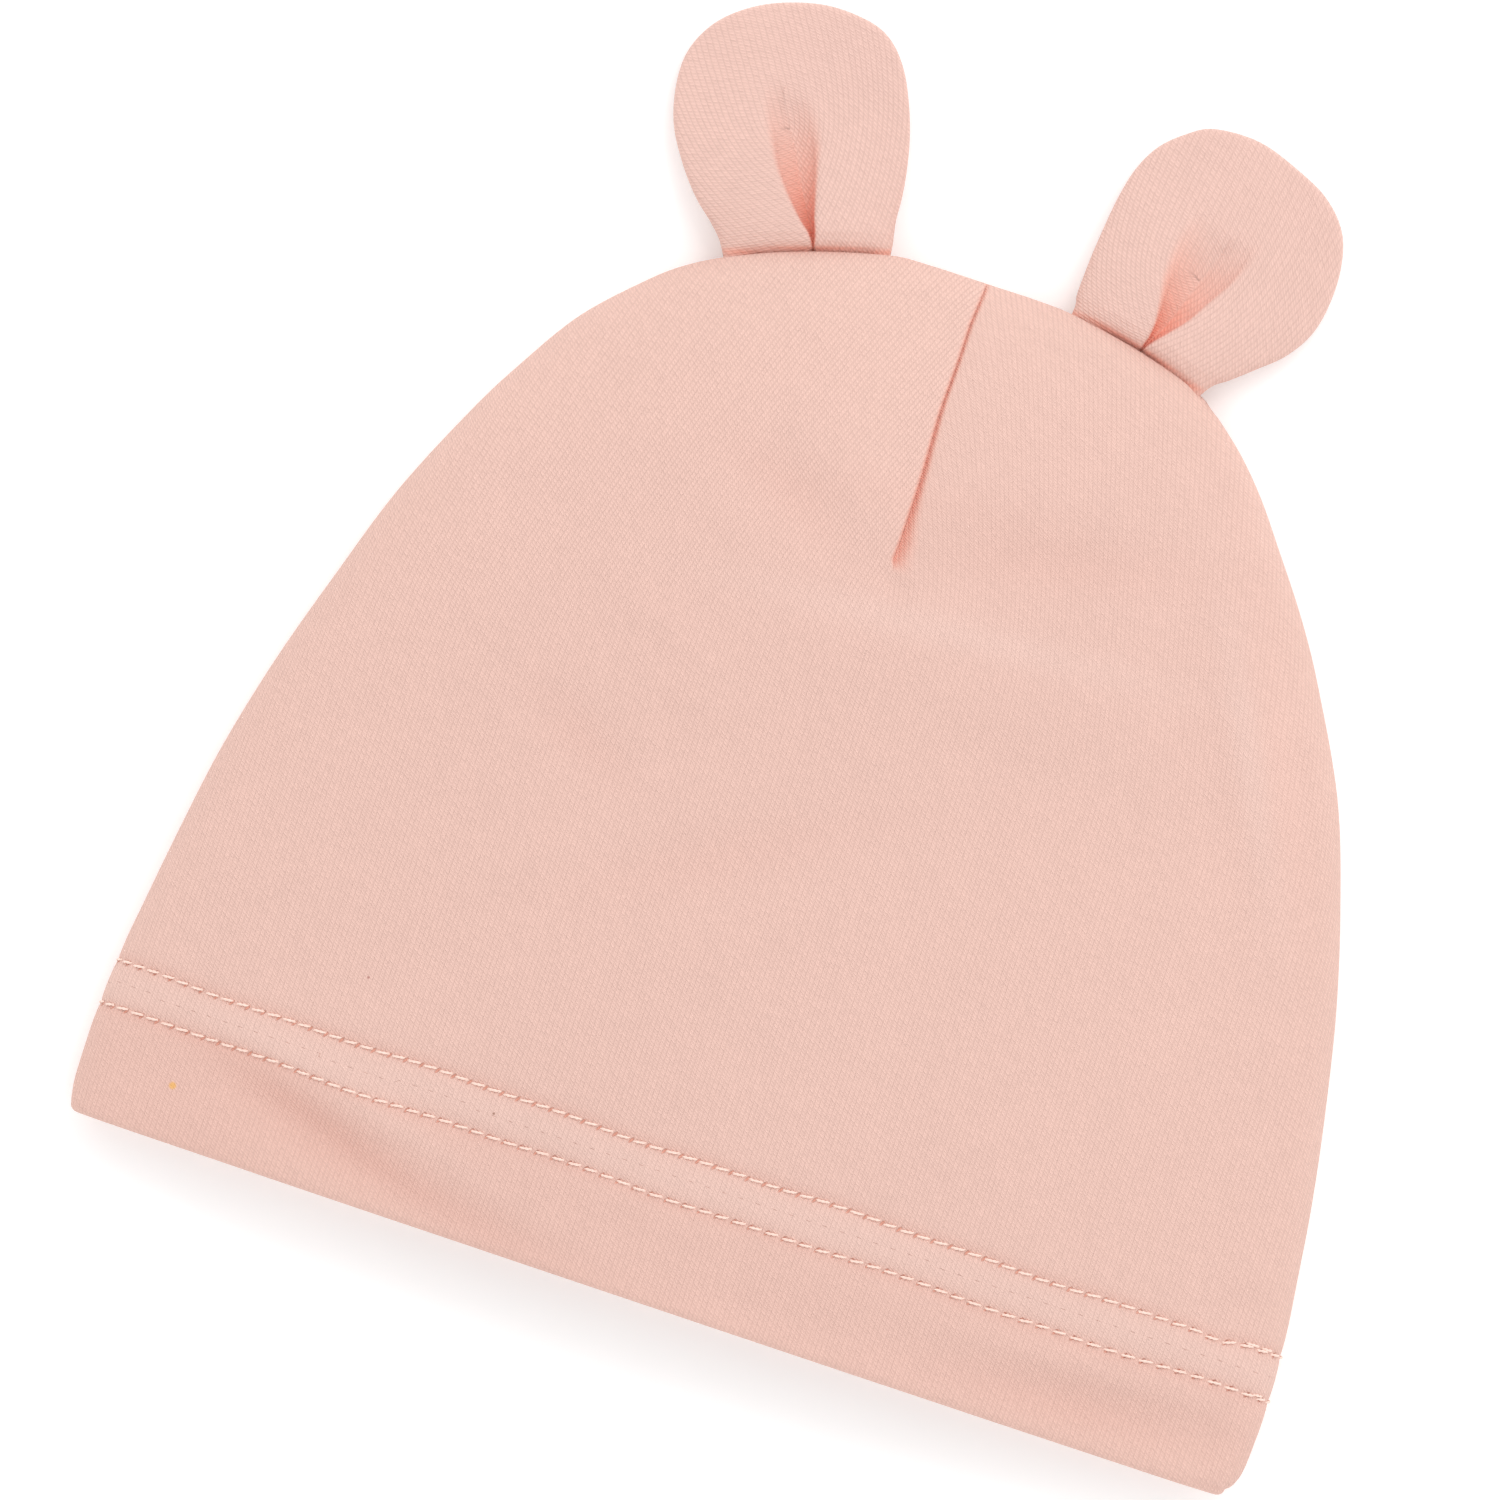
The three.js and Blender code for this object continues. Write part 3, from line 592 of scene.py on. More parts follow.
side_of = np.where(np.arange(COLS) < HALF, -1, 1)
X, Y, Z = S0[..., 0], S0[..., 1], S0[..., 2]
REL = hem_relief(X, Y) * smooth(INW / 1.5 + 0.3) * (Y < 45)
DIP = -0.5 * np.exp(-(((Z - Z[:, :1]) / 0.7) ** 2))
MAIN = S0 + N0 * (REL + DIP)[..., None]
for side in (-1, 1):
    cols = slice(0, HALF + 1) if side < 0 else slice(HALF, COLS)
    dx, dz = dart_shape(S0[:, cols, 0], S0[:, cols, 1], side)
    keep = (S0[:, cols, 1] > 105)
    fade = smooth((153.9 - S0[:, cols, 1]) / 2.0) * 0.6 + 0.4
    MAIN[:, cols, 0] += dx * keep
    MAIN[:, cols, 2] += dz * keep * fade
t_main = CLOTH + (2.6 * np.exp(-((X / 1.9) ** 2)) * dart_amount(Y)) * (Y > 105)
IN_MAIN = S0 - N0 * t_main[..., None]
SPLIT = (S0[-1, :, 1] > DART_END + 0.25)
# keep the two halves of the inner face apart by a hair where the dart is open
for j in range(COLS):
    if SPLIT[j] and j != HALF:
        IN_MAIN[-1, j, 0] += -0.03 if j < HALF else 0.03

angles = np.linspace(0, math.pi, 11)[1:-1]
R_OUT, R_IN = FOLD / 2, FOLD / 2 - CLOTH


def fold_rows(base, normal, angle):
    """The rows round the folded hem edge, from the outer face to the turned-up layer's."""
    outer = [base + normal * (-R_OUT * (1 - math.cos(a))) + np.array([0, -R_OUT * math.sin(a), 0]) for a in angle]
    inner = [base + normal * (-R_OUT + R_IN * math.cos(a)) + np.array([0, -R_IN * math.sin(a), 0]) for a in angle]
    return outer, inner


def turned_up(grid, normal, heights, n):
    """The turned-up layer inside: its visible and its hidden face, from the fold to the raw edge."""
    pick = [0] + [i for i in range(2, n) if heights[i] <= HEM_TURN - 0.9 and i % 2 == 0]
    last = int(np.argmin(np.abs(heights - HEM_TURN)))
    pick = [i for i in pick if i < last] + [last]
    ripple = np.zeros((len(pick), grid.shape[1]))
    for k, i in enumerate(pick):
        y = grid[i, :, 1]
        x = grid[i, :, 0]
        for row in (0, 1):
            ripple[k] -= 0.2 * np.exp(-(((y - stitch_height(x, row)) / 0.7) ** 2))
    visible = grid[pick] - normal[pick] * (FOLD + ripple)[..., None]
    hidden = grid[pick] - normal[pick] * (FOLD - CLOTH)
    return pick, visible, hidden


def wall_grids(main, inner_main, base, normal, heights, n):
    outer_fold, inner_fold = fold_rows(base[0], normal[0], angles)
    pick, visible, hidden = turned_up(base, normal, heights, n)
    A = np.concatenate([visible[::-1], np.array(outer_fold)[::-1], main])
    B = np.concatenate([hidden[::-1], np.array(inner_fold)[::-1], inner_main])
    return A, B, pick


A, B, picked = wall_grids(MAIN, IN_MAIN, S0, N0, hem_y, n_hem)
extra = len(A) - ROWS
# the fold and the turned-up layer's ends are drawn in at the side seams too
for grid in (A[:extra],):
    edge_dip = 0.5 * np.exp(-(((grid[..., 2] - SEAM_Z) / 0.7) ** 2))
    near_side = np.zeros(COLS)
    near_side[:RING] = 1
    near_side[-RING:] = 1
    grid -= N0[:1] * (edge_dip * near_side * np.clip((np.arange(extra) - (extra - len(angles))) / 4, 0, 1)[:, None])[..., None]


def uv_front(grid_xy, run, inside):
    """The knit's map: across the wales and along them, in millimetres. run is the distance along the cloth from the fold, negative on the turned-up layer."""
    x, y = grid_xy[..., 0], grid_xy[..., 1]
    u = np.empty_like(x)
    u[:, : HALF + 1] = knit_uv(x[:, : HALF + 1], y[:, : HALF + 1], -1)
    u[:, HALF:] = knit_uv(x[:, HALF:], y[:, HALF:], 1)
    return np.stack([u, run], -1)


base_rows = np.concatenate([S0[picked][::-1], np.repeat(S0[:1], len(angles), 0), S0])
run = np.concatenate(
    [
        2 * S0[:1, :, 1] - base_rows[: len(picked), :, 1] - R_OUT * math.pi,
        S0[:1, :, 1] - (R_OUT * angles[::-1])[:, None],
        S0[..., 1],
    ]
)
# arc round the rolled edge keeps the wales from stretching there
knit_A = uv_front(base_rows, run, False)
arc = np.sqrt((np.diff(base_rows[..., 0], axis=1)) ** 2 + (np.diff(base_rows[..., 2], axis=1)) ** 2)
cum = np.concatenate([np.zeros((len(base_rows), 1)), np.cumsum(arc, 1)], 1)
over_left = (cum - cum[:, RING : RING + 1]) - (base_rows[..., 0] - base_rows[:, RING : RING + 1, 0])
over_right = (cum - cum[:, -RING - 1 : -RING]) - (base_rows[..., 0] - base_rows[:, -RING - 1 : -RING, 0])
shift = np.where(np.arange(COLS)[None, :] < RING, over_left, 0) + np.where(np.arange(COLS)[None, :] > COLS - 1 - RING, over_right, 0)
fadeout = np.clip((140 - base_rows[..., 1]) / 30, 0, 1)
knit_A[..., 0] += shift * fadeout

phase = stitch_phase(base_rows[..., 0] + shift * fadeout)
stitch_A = np.stack([phase, np.where(base_rows[..., 1] < 45, base_rows[..., 1], 60.0)], -1)
stitch_A[: len(picked) + len(angles), :, 1] = 60.0
lower_v = stitch_A[..., 1] - stitch_height(base_rows[..., 0], 0)
upper_v = stitch_A[..., 1] - stitch_height(base_rows[..., 0], 1)
near_v = np.where(np.abs(lower_v) < np.abs(upper_v), lower_v, upper_v)
near_v = np.where(base_rows[..., 1] < 45, near_v, 30.0)
near_v[: len(picked) + len(angles)] = -30.0
# the distance changes sign halfway between the rows; both ends of that step are far from a row, so it doesn't show
stitch_A[..., 1] = near_v
FULL_SPLIT = np.zeros(COLS, bool)
FULL_SPLIT[:] = SPLIT
FULL_SPLIT[HALF] = False
# painted coral shade in the dart's crease: wider on the right, where the cloth sinks under the lip, and thin along the
# lip on the left
q_dart = np.abs(base_rows[..., 0])
w_dart = np.interp(base_rows[..., 1], POCKET_Y, POCKET_W)
on_right = np.arange(COLS)[None, :] >= HALF
near_dart = np.where(on_right, (1 - smooth(q_dart / (w_dart * 1.6))), 0.9 * (1 - smooth(q_dart / 0.5)))
painted_shade_A = near_dart * dart_amount(base_rows[..., 1] + 0.4) * (base_rows[..., 1] > 105) * np.interp(base_rows[..., 1], [110, 113, 118, 132, 154], [0.3, 0.45, 0.5, 0.38, 0.3])
painted_shade_A[: len(picked) + len(angles)] = 0
# tone of the hem: the two layers look a little deeper, darker still towards the left, and the single cloth lighter; the
# puffed band between the rows gets a painted highlight, and a painted shade runs along the outer side of each stitch
# row
lo_h, up_h = stitch_height(base_rows[..., 0], 0), stitch_height(base_rows[..., 0], 1)
yy = base_rows[..., 1]
tone_and_painted_shade = np.where(yy < lo_h, -0.45 - 0.3 * np.exp(-(((base_rows[..., 0] + 70) / 18) ** 2)), np.where(yy < up_h, 0.42 * np.sin(np.pi * np.clip((yy - lo_h) / (up_h - lo_h), 0, 1)), 0.0))
tone_and_painted_shade -= 0.5 * np.exp(-(((yy - up_h - 0.9) / 0.7) ** 2)) + 0.35 * np.exp(-(((yy - lo_h + 0.8) / 0.6) ** 2))
# painted shade and highlight of the soft folds over the hem and the body
for fx, fy, turn, long, wide, high in ((-51.0, 10.0, -17, 19.0, 2.6, -1.15), (-45.0, 14.2, -13, 15.0, 1.7, 0.5), (-30.0, 5.0, -10, 16.0, 2.6, -0.6), (60.0, 6.0, 3, 20.0, 3.0, -0.6), (4.0, 121.0, 6, 22.0, 3.5, -0.35), (22.0, 118.0, 12, 20.0, 3.6, -0.5), (-17.0, 116.0, -26, 11.0, 3.0, -0.35), (12.0, 104.5, 4, 30.0, 2.6, 0.45), (56.0, 101.0, -63, 20.0, 2.4, 0.5), (62.0, 99.0, -63, 18.0, 2.2, -0.3), (-34.0, 74.0, -28, 9.0, 3.0, -0.35), (-10.0, 64.0, 31, 20.0, 3.4, -0.35)):
    a_ = math.radians(turn)
    al = ((base_rows[..., 0] - fx) * math.cos(a_) + (yy - fy) * math.sin(a_)) / long
    ac = (-(base_rows[..., 0] - fx) * math.sin(a_) + (yy - fy) * math.cos(a_)) / wide
    tone_and_painted_shade = tone_and_painted_shade + high * np.exp(-(al**2) - ac**2)
painted_shade_A = np.stack([painted_shade_A, tone_and_painted_shade], -1)
uv = {"knit": knit_A, "stitch": stitch_A, "painted_shade": painted_shade_A}
front = closed_wall("front_cloth", A, B, uv, uv, STEP, split=FULL_SPLIT)

# ---------------------------------------------------------------- back cloth
RING_B, INNER_B = 12, 60
hem_yb = np.concatenate([[FOLD / 2], np.arange(2.0, 26.01, 0.6)])
s_hb = row_at_height(hem_yb)
s_bb = np.linspace(s_hb[-1], 22, 2000)
_r = body_rows(s_bb)
_speed = 0.5 * np.linalg.norm(np.diff(_r[-1][0], axis=0), axis=1) + 0.5 * np.linalg.norm(np.diff(_r["centre"], axis=0), axis=1) + 0.004
_travel = np.concatenate([[0], np.cumsum(_speed)])
s_bb = np.interp(np.linspace(0, _travel[-1], 96), _travel, s_bb)[1:]
s_back = np.concatenate([s_hb, s_bb])
SB, INWB = panel_grid(s_back, RING_B, INNER_B, BACK_ROLL, back_point)
NB = grid_normals(SB, -1)
NB[: len(hem_yb), :, 1] *= smooth(hem_yb / 9.0)[:, None]
NB[:, 0, 2] = NB[:, -1, 2] = 0
NB = unit(NB)
COLS_B = SB.shape[1]
XB, YB, ZB = SB[..., 0], SB[..., 1], SB[..., 2]
relief_b = np.zeros_like(XB)
for row in (0, 1):
    relief_b -= 0.42 * np.exp(-(((YB - stitch_height(XB, row)) / 0.55) ** 2))
relief_b *= YB < 45
DIPB = -0.5 * np.exp(-(((ZB - ZB[:, :1]) / 0.7) ** 2))
MAINB = SB + NB * (relief_b + DIPB)[..., None]
IN_B = SB - NB * (CLOTH + 0.5 * unevenness(XB, YB) * smooth(INWB / 9))[..., None]
base_b = SB
outer_fold, inner_fold = fold_rows(base_b[0], NB[0], angles)
pick_b, vis_b, hid_b = turned_up(base_b, NB, hem_yb, len(hem_yb))
A2 = np.concatenate([vis_b[::-1], np.array(outer_fold)[::-1], MAINB])
B2 = np.concatenate([hid_b[::-1], np.array(inner_fold)[::-1], IN_B])
extra_b = len(A2) - len(MAINB)
for grid in (A2, B2):
    grid[..., 1] += 0.45 * (1 - smooth((grid[..., 1] + 1) / 9)) * (1 - (np.abs(grid[..., 0]) / 88) ** 8)
near_side = np.zeros(COLS_B)
near_side[:RING_B] = 1
near_side[-RING_B:] = 1
edge_dip = 0.5 * np.exp(-(((A2[:extra_b, :, 2] - SEAM_Z) / 0.7) ** 2))
A2[:extra_b] -= NB[:1] * (edge_dip * near_side * np.clip((np.arange(extra_b) - (extra_b - len(angles))) / 4, 0, 1)[:, None])[..., None]
rows_b = np.concatenate([base_b[pick_b][::-1], np.repeat(base_b[:1], len(angles), 0), base_b])
run_b = np.concatenate(
    [
        2 * base_b[:1, :, 1] - rows_b[: len(pick_b), :, 1] - R_OUT * math.pi,
        base_b[:1, :, 1] - (R_OUT * angles[::-1])[:, None],
        base_b[..., 1],
    ]
)
knit_B = np.stack([rows_b[..., 0], run_b], -1)
near_b = np.where(np.abs(rows_b[..., 1] - stitch_height(rows_b[..., 0], 0)) < np.abs(rows_b[..., 1] - stitch_height(rows_b[..., 0], 1)), rows_b[..., 1] - stitch_height(rows_b[..., 0], 0), rows_b[..., 1] - stitch_height(rows_b[..., 0], 1))
near_b = np.where(rows_b[..., 1] < 45, near_b, 30.0)
near_b[: len(pick_b) + len(angles)] = -30.0
stitch_B = np.stack([stitch_phase(rows_b[..., 0]), near_b], -1)
uvb = {"knit": knit_B, "stitch": stitch_B}
back = closed_wall("back_cloth", A2, B2, uvb, uvb, 2)


# ---------------------------------------------------------------- ears
def ear(name, table, seam_left, seam_right, bulge, apex, lean):
    seam_left, seam_right = np.array(seam_left), np.array(seam_right)
    span = seam_right - seam_left
    away = unit(np.array([-span[1], span[0]]))
    n = len(table) - 1
    s = np.concatenate([np.linspace(0, 1, 7)[:-1], np.linspace(1, 4, 37)[:-1], np.linspace(4, n, 71)])
    spine = np.stack([catmull(table, 2, s), catmull(table, 3, s)], -1)
    deep = np.maximum(0, straight(table, 6, s))
    halves = []
    for side in (-1, 1):
        cx, cy = (0, 1) if side < 0 else (4, 5)
        ox, oy = (4, 5) if side < 0 else (0, 1)
        edge = np.stack([catmull(table, cx, s, ox), catmull(table, cy, s, oy)], -1)
        w = straight(table, 7 if side < 0 else 8, s)
        soft = smooth(straight(table, 9 if side < 0 else 10, s))
        way = spine - edge
        length = np.linalg.norm(way, axis=-1)
        rim = EAR_EDGE * (1 - np.cos(np.pi / 2 * np.arange(9) / 8))
        rim = np.broadcast_to(rim, (len(s), 9))
        roll = 0.95
        # distances from the spine at which the columns stand, crisp and soft
        t = np.linspace(0, 1, 12)
        reach = (w + roll + 0.35)[:, None]
        crisp = np.concatenate([w[:, None] + roll * np.cos(np.pi / 2 * t)[None, :], w[:, None] * np.array([0.96, 0.92, 0.86, 0.78, 0.66, 0.5, 0.33, 0.17, 0.0])[None, :]], 1)
        k = crisp.shape[1]
        even = np.linspace(1, 0, k)[None, :] * (w * 1.6 + roll)[:, None]
        dist = crisp * (1 - soft)[:, None] + even * soft[:, None]
        start = length[:, None] - dist[:, :1]
        m = np.linspace(0, 1, 34)[1:-1]
        plain = EAR_EDGE + (start - EAR_EDGE) * m[None, :]
        along = np.concatenate([rim, plain, length[:, None] - dist], 1)
        p = edge[:, None, :] + way[:, None, :] * (along / length[:, None])[..., None]
        q = p - seam_left
        share = np.clip((q @ span) / (span @ span), 0, 1)
        far = q @ away - bulge * 4 * share * (1 - share)
        mid, up, down = (np.interp(far, EAR_PROFILE[:, 0], EAR_PROFILE[:, c]) for c in (1, 2, 3))
        out = 1 - along / length[:, None]
        rnd = quarter(along / EAR_EDGE)
        swell = 1 - out * out
        thick = np.minimum(1.2, up)
        a = length[:, None] - along  # distance from the spine
        ww = w[:, None]
        fall = np.clip((ww + roll - a) / roll, 0, 1)
        lip = roll * (1 - np.sqrt(np.maximum(0, 1 - fall**2)))
        lip_depth = np.minimum(deep, roll)[:, None] / roll * lip
        inside = np.clip(a / np.maximum(ww, 0.05), 0, 1)
        floor = deep[:, None] - (deep[:, None] * 0.32) * inside**2.2
        crisp_drop = np.where(a < ww * 0.98, np.maximum(floor, lip_depth), lip_depth)
        soft_drop = deep[:, None] * 0.5 * (1 + np.cos(np.pi * np.clip(a / (ww * 1.5 + 0.6), 0, 1)))
        drop = crisp_drop * (1 - soft)[:, None] + soft_drop * soft[:, None]
        top = mid + rnd * (thick + (up - thick) * swell) - drop
        bottom = mid - rnd * (thick + (down - thick) * swell)
        top = np.maximum(top, bottom + 0.9 * rnd)
        # painted coral shade in the pleat's hollow, strongest near the base and on its deep side, and a painted shade
        # line along the crown seam at the ear's base
        strength = np.interp(s, [0, 0.8, 1.2, 2, 3, 4, 5, 6, 7, 8.5], [1, 1, 1, 0.95, 0.8, 0.6, 0.42, 0.27, 0.12, 0.0])[:, None]
        deeper = 0.62 + 0.38 * np.clip(1 - a / np.maximum(ww, 0.05), -1, 1) if (side < 0) != (name == "right_ear_cloth") else 0.62 + 0.38 * np.clip(a / np.maximum(ww, 0.05), 0, 1)
        within = 1 - smooth((a - ww * (1 + 0.2 * soft[:, None])) / (0.3 + 1.6 * soft[:, None]) + 0.15)
        seam_shade_line = 0.55 * np.exp(-(((far - 0.1) / 0.38) ** 2))
        painted_shade = np.maximum(strength * within * deeper, seam_shade_line)
        # the edge is drawn in a little along the seam that joins its two layers
        dip = 0.28 * np.exp(-((along / 0.35) ** 2))
        dirn = (way / length[:, None])[:, None, :]
        pt = p + dirn * dip[..., None]
        halves.append((np.concatenate([pt, top[..., None]], -1), np.concatenate([pt, bottom[..., None]], -1), painted_shade))
    upper = np.concatenate([halves[0][0], halves[1][0][:, ::-1][:, 1:]], 1)
    lower = np.concatenate([halves[0][1], halves[1][1][:, ::-1][:, 1:]], 1)
    painted_shades = np.concatenate([halves[0][2], halves[1][2][:, ::-1][:, 1:]], 1)
    # the pleat takes a wedge of 75 degrees out of the flat cloth, so the wales turn round its end as on a cone
    apex = np.array(apex)

    def knit(grid, side):
        d = grid[..., :2] - apex
        radius = np.linalg.norm(d, axis=-1)
        turn = np.arctan2(d[..., 0], d[..., 1]) - math.radians(lean)
        cut = math.radians(105) if side < 0 else math.radians(-105)
        turn = (turn - cut) % (2 * math.pi) + (cut - 2 * math.pi if side < 0 else cut)
        flat = turn * (1 - 75 / 360)
        return np.stack([radius * np.sin(flat), radius * np.cos(flat)], -1)

    r, c = upper.shape[:2]
    half = (c - 1) // 2
    ids = np.arange(r * c).reshape(r, c)
    ids_low = r * c + np.arange(r * c).reshape(r, c)
    for j in range(half):
        ids[-1, c - 1 - j] = ids[-1, j]
        ids_low[-1, c - 1 - j] = ids_low[-1, j]
    for i in range(r):
        for j in (0, c - 1):
            ids_low[i, j] = ids[i, j]
    pts = np.concatenate([upper.reshape(-1, 3), lower.reshape(-1, 3)])
    faces, uvs = [], []
    for g, idg, flip in ((upper, ids, False), (lower, ids_low, True)):
        q = np.stack([idg[:-1, :-1], idg[:-1, 1:], idg[1:, 1:], idg[1:, :-1]], -1)
        w = []
        for side, part in ((-1, slice(0, half + 1)), (1, slice(half, c))):
            kn = np.concatenate([knit(g[:, part], side), (painted_shades if not flip else painted_shades * 0)[:, part, None]], -1)
            w.append(np.stack([kn[:-1, :-1], kn[:-1, 1:], kn[1:, 1:], kn[1:, :-1]], -2))
        w = np.concatenate(w, 1)
        if flip:
            q, w = q[..., ::-1], w[..., ::-1, :]
        q, w = q.reshape(-1, 4), w.reshape(-1, 4, 3)
        unique = (q[:, :, None] == q[:, None, :]).sum((1, 2)) == 4
        faces.append(q[unique])
        uvs.append(w[unique].reshape(-1, 3))
        tri, tuv = [], []
        for row in np.where(~unique)[0]:
            seen, corner = [], []
            for k in range(4):
                if q[row, k] not in seen:
                    seen.append(q[row, k])
                    corner.append(k)
            if len(seen) == 3:
                tri.append(seen)
                tuv.append(w[row, corner])
        if tri:
            faces.append(np.array(tri))
            uvs.append(np.array(tuv).reshape(-1, 3))
    # the end of the tab in the seam
    first, first_low = ids[0], ids_low[0]
    end = []
    for j in range(c - 1):
        quad = [first[j], first[j + 1], first_low[j + 1], first_low[j]]
        if len(set(quad)) == 4:
            end.append(quad)
    tri_end = [[first[0], first[1], first_low[1]], [first[c - 2], first[c - 1], first_low[c - 2]]]
    faces += [np.array(end), np.array(tri_end)]
    uvs += [np.zeros((len(end) * 4, 3)), np.zeros((len(tri_end) * 3, 3))]
    used, renumber = np.unique(np.concatenate([f.ravel() for f in faces]), return_inverse=True)
    packed, at = [], 0
    for f in faces:
        packed.append(renumber[at : at + f.size].reshape(f.shape))
        at += f.size
    knit_all = np.concatenate(uvs)
    return make_mesh(name, pts[used], packed, {"knit": knit_all[:, :2], "painted_shade": np.stack([knit_all[:, 2], knit_all[:, 2] * 0], -1)})


left_ear = ear("left_ear_cloth", LEFT_EAR, (-37.6, 145.2), (-14.1, 153.1), 0.62, (-35.0, 165.0), -33.5)
right_ear = ear("right_ear_cloth", RIGHT_EAR, (12.4, 153.2), (33.65, 147.8), 0.77, (26.5, 164.0), 8.0)


# ---------------------------------------------------------------- stitches
def tubes(paths, radius, sides=6):
    """One mesh of closed tubes along the given lines of points. The radius may be one number, or one for each point,
    shared by every path.
    """
    points, quads, tris = [], [], []
    at = 0
    for path in paths:
        path = np.asarray(path, float)
        n = len(path)
        tangent = unit(np.gradient(path, axis=0))
        ref = np.array([0.0, 0.0, 1.0]) if abs(tangent[n // 2, 2]) < 0.8 else np.array([0.0, 1.0, 0.0])
        a = unit(np.cross(tangent, ref))
        b = np.cross(tangent, a)
        rad = np.full(n, radius) if np.isscalar(radius) else np.asarray(radius)
        rad = rad.copy()
        ring = np.arange(sides) * 2 * np.pi / sides
        pts = path[:, None] + rad[:, None, None] * (a[:, None] * np.cos(ring)[None, :, None] + b[:, None] * np.sin(ring)[None, :, None])
        points.append(pts.reshape(-1, 3))
        points.append(path[[0, -1]])
        for i in range(n - 1):
            for k in range(sides):
                k2 = (k + 1) % sides
                quads.append((at + i * sides + k, at + i * sides + k2, at + (i + 1) * sides + k2, at + (i + 1) * sides + k))
        c0, c1 = at + n * sides, at + n * sides + 1
        for k in range(sides):
            k2 = (k + 1) % sides
            tris.append((c0, at + k2, at + k))
            tris.append((c1, at + (n - 1) * sides + k, at + (n - 1) * sides + k2))
        at += n * sides + 2
    return np.concatenate(points), np.array(quads), np.array(tris)


def two_ply(path, up, thick=0.19, apart=0.1, turns=1.6, start=0.0):
    """Two strands twisted round each other along a path."""
    path = np.asarray(path)
    tangent = unit(np.gradient(path, axis=0))
    side = unit(np.cross(tangent, up))
    upv = unit(np.cross(side, tangent))
    t = np.linspace(0, 1, len(path))
    out = []
    for k in (0, 1):
        ang = 2 * np.pi * (turns * t) + start + k * np.pi
        out.append(path + apart * (side * np.cos(ang)[:, None] + upv * np.sin(ang)[:, None]))
    return out


class Line:
    """A stitch row round one panel: positions and outward normals by distance along it."""

    def __init__(self, row, face, normals_sign, ring, roll):
        x = []
        side_pts, side_n = [], []
        for side in (-1, 1):
            # a first guess of x for each column, then the row's height there
            k = np.arange(0, 41) / 40
            along = np.concatenate([roll * (1 - np.cos(np.pi / 2 * k)), np.linspace(roll, 86.0, 400)[1:]])
            xe = side * (87.6 - along)
            yh = stitch_height(xe, row)
            for _ in range(2):
                rows = body_rows(row_at_height(yh - hem_rise(xe, yh)))
                edge, normal = rows[side]
                length = np.abs(edge[:, 0])
                a = np.minimum(along, length)
                xe = edge[:, 0] - side * a
                yh = stitch_height(xe, row)

            def at(da, dy):
                rows = body_rows(row_at_height(yh - hem_rise(xe, yh) + dy))
                e, nn = rows[side]
                aa = np.clip(along + da, 0, np.abs(e[:, 0]))
                p, inward = face(e, nn, rows["centre"], rows["open"][side], aa)
                return p, inward

            p, inward = at(0, 0)
            px = at(0.05, 0)[0] - at(-0.05, 0)[0]
            py = at(0, 0.05)[0] - at(0, -0.05)[0]
            nrm = unit(np.cross(px, py))
            nrm *= np.where(nrm[:, 2] * normals_sign < 0, -1, 1)[:, None]
            keep = along <= np.abs(edge[:, 0]) + 1e-6
            side_pts.append((p[keep], nrm[keep], inward[keep]))
        pl, nl, il = side_pts[0]
        pr, nr, ir = side_pts[1]
        self.p = np.concatenate([pl, pr[::-1]])
        self.n = np.concatenate([nl, nr[::-1]])
        self.inward = np.concatenate([il, ir[::-1]])
        step = np.linalg.norm(np.diff(self.p, axis=0), axis=1)
        self.d = np.concatenate([[0], np.cumsum(step)])
        self.row = row

    def at(self, d):
        p = np.stack([np.interp(d, self.d, self.p[:, k]) for k in range(3)], -1)
        n = unit(np.stack([np.interp(d, self.d, self.n[:, k]) for k in range(3)], -1))
        return p, n


def sew(line, sink, high, rng, pitch_at, skip_ends=0.6):
    """The strands of one row: each stitch rises from its hole at the left, runs a little arched and dives at the right."""
    paths = []
    d = 0.35
    count = 0
    total = line.d[-1]
    while d < total - 0.9:
        x = line.at(np.array([d]))[0][0, 0]
        pitch = pitch_at(x)
        long = pitch * rng.uniform(0.76, 0.84)
        a, b = d + 0.18, min(d + 0.18 + long, total - 0.15)
        t = np.linspace(0, 1, 9)
        p, n = line.at(a + (b - a) * t)
        arch = np.sin(np.pi * t) ** 0.6
        lift = -sink * (1 - arch) + high * arch
        slant = (t - 0.5) * rng.uniform(0.18, 0.34)
        path = p + n * lift[:, None]
        path[:, 1] += slant + rng.normal(0, 0.02)
        for strand in two_ply(path, n, apart=0.085, turns=1.5, start=rng.uniform(0, 6.28)):
            paths.append(strand)
        d += pitch
        count += 1
    return paths, count


pitch_at = lambda x: 2.475 + 0.002 * x
rng = np.random.default_rng(11)
all_paths = []
lines = {}
for row in (0, 1):
    lines["front", row] = Line(row, front_point, 1, RING, ROLL_IN)
    paths, _ = sew(lines["front", row], 0.5, 0.02, rng, pitch_at)
    all_paths += paths
for row in (0, 1):
    lines["back", row] = Line(row, back_point, -1, RING_B, BACK_ROLL)
    paths, _ = sew(lines["back", row], 0.6, -0.26, rng, pitch_at)
    all_paths += paths
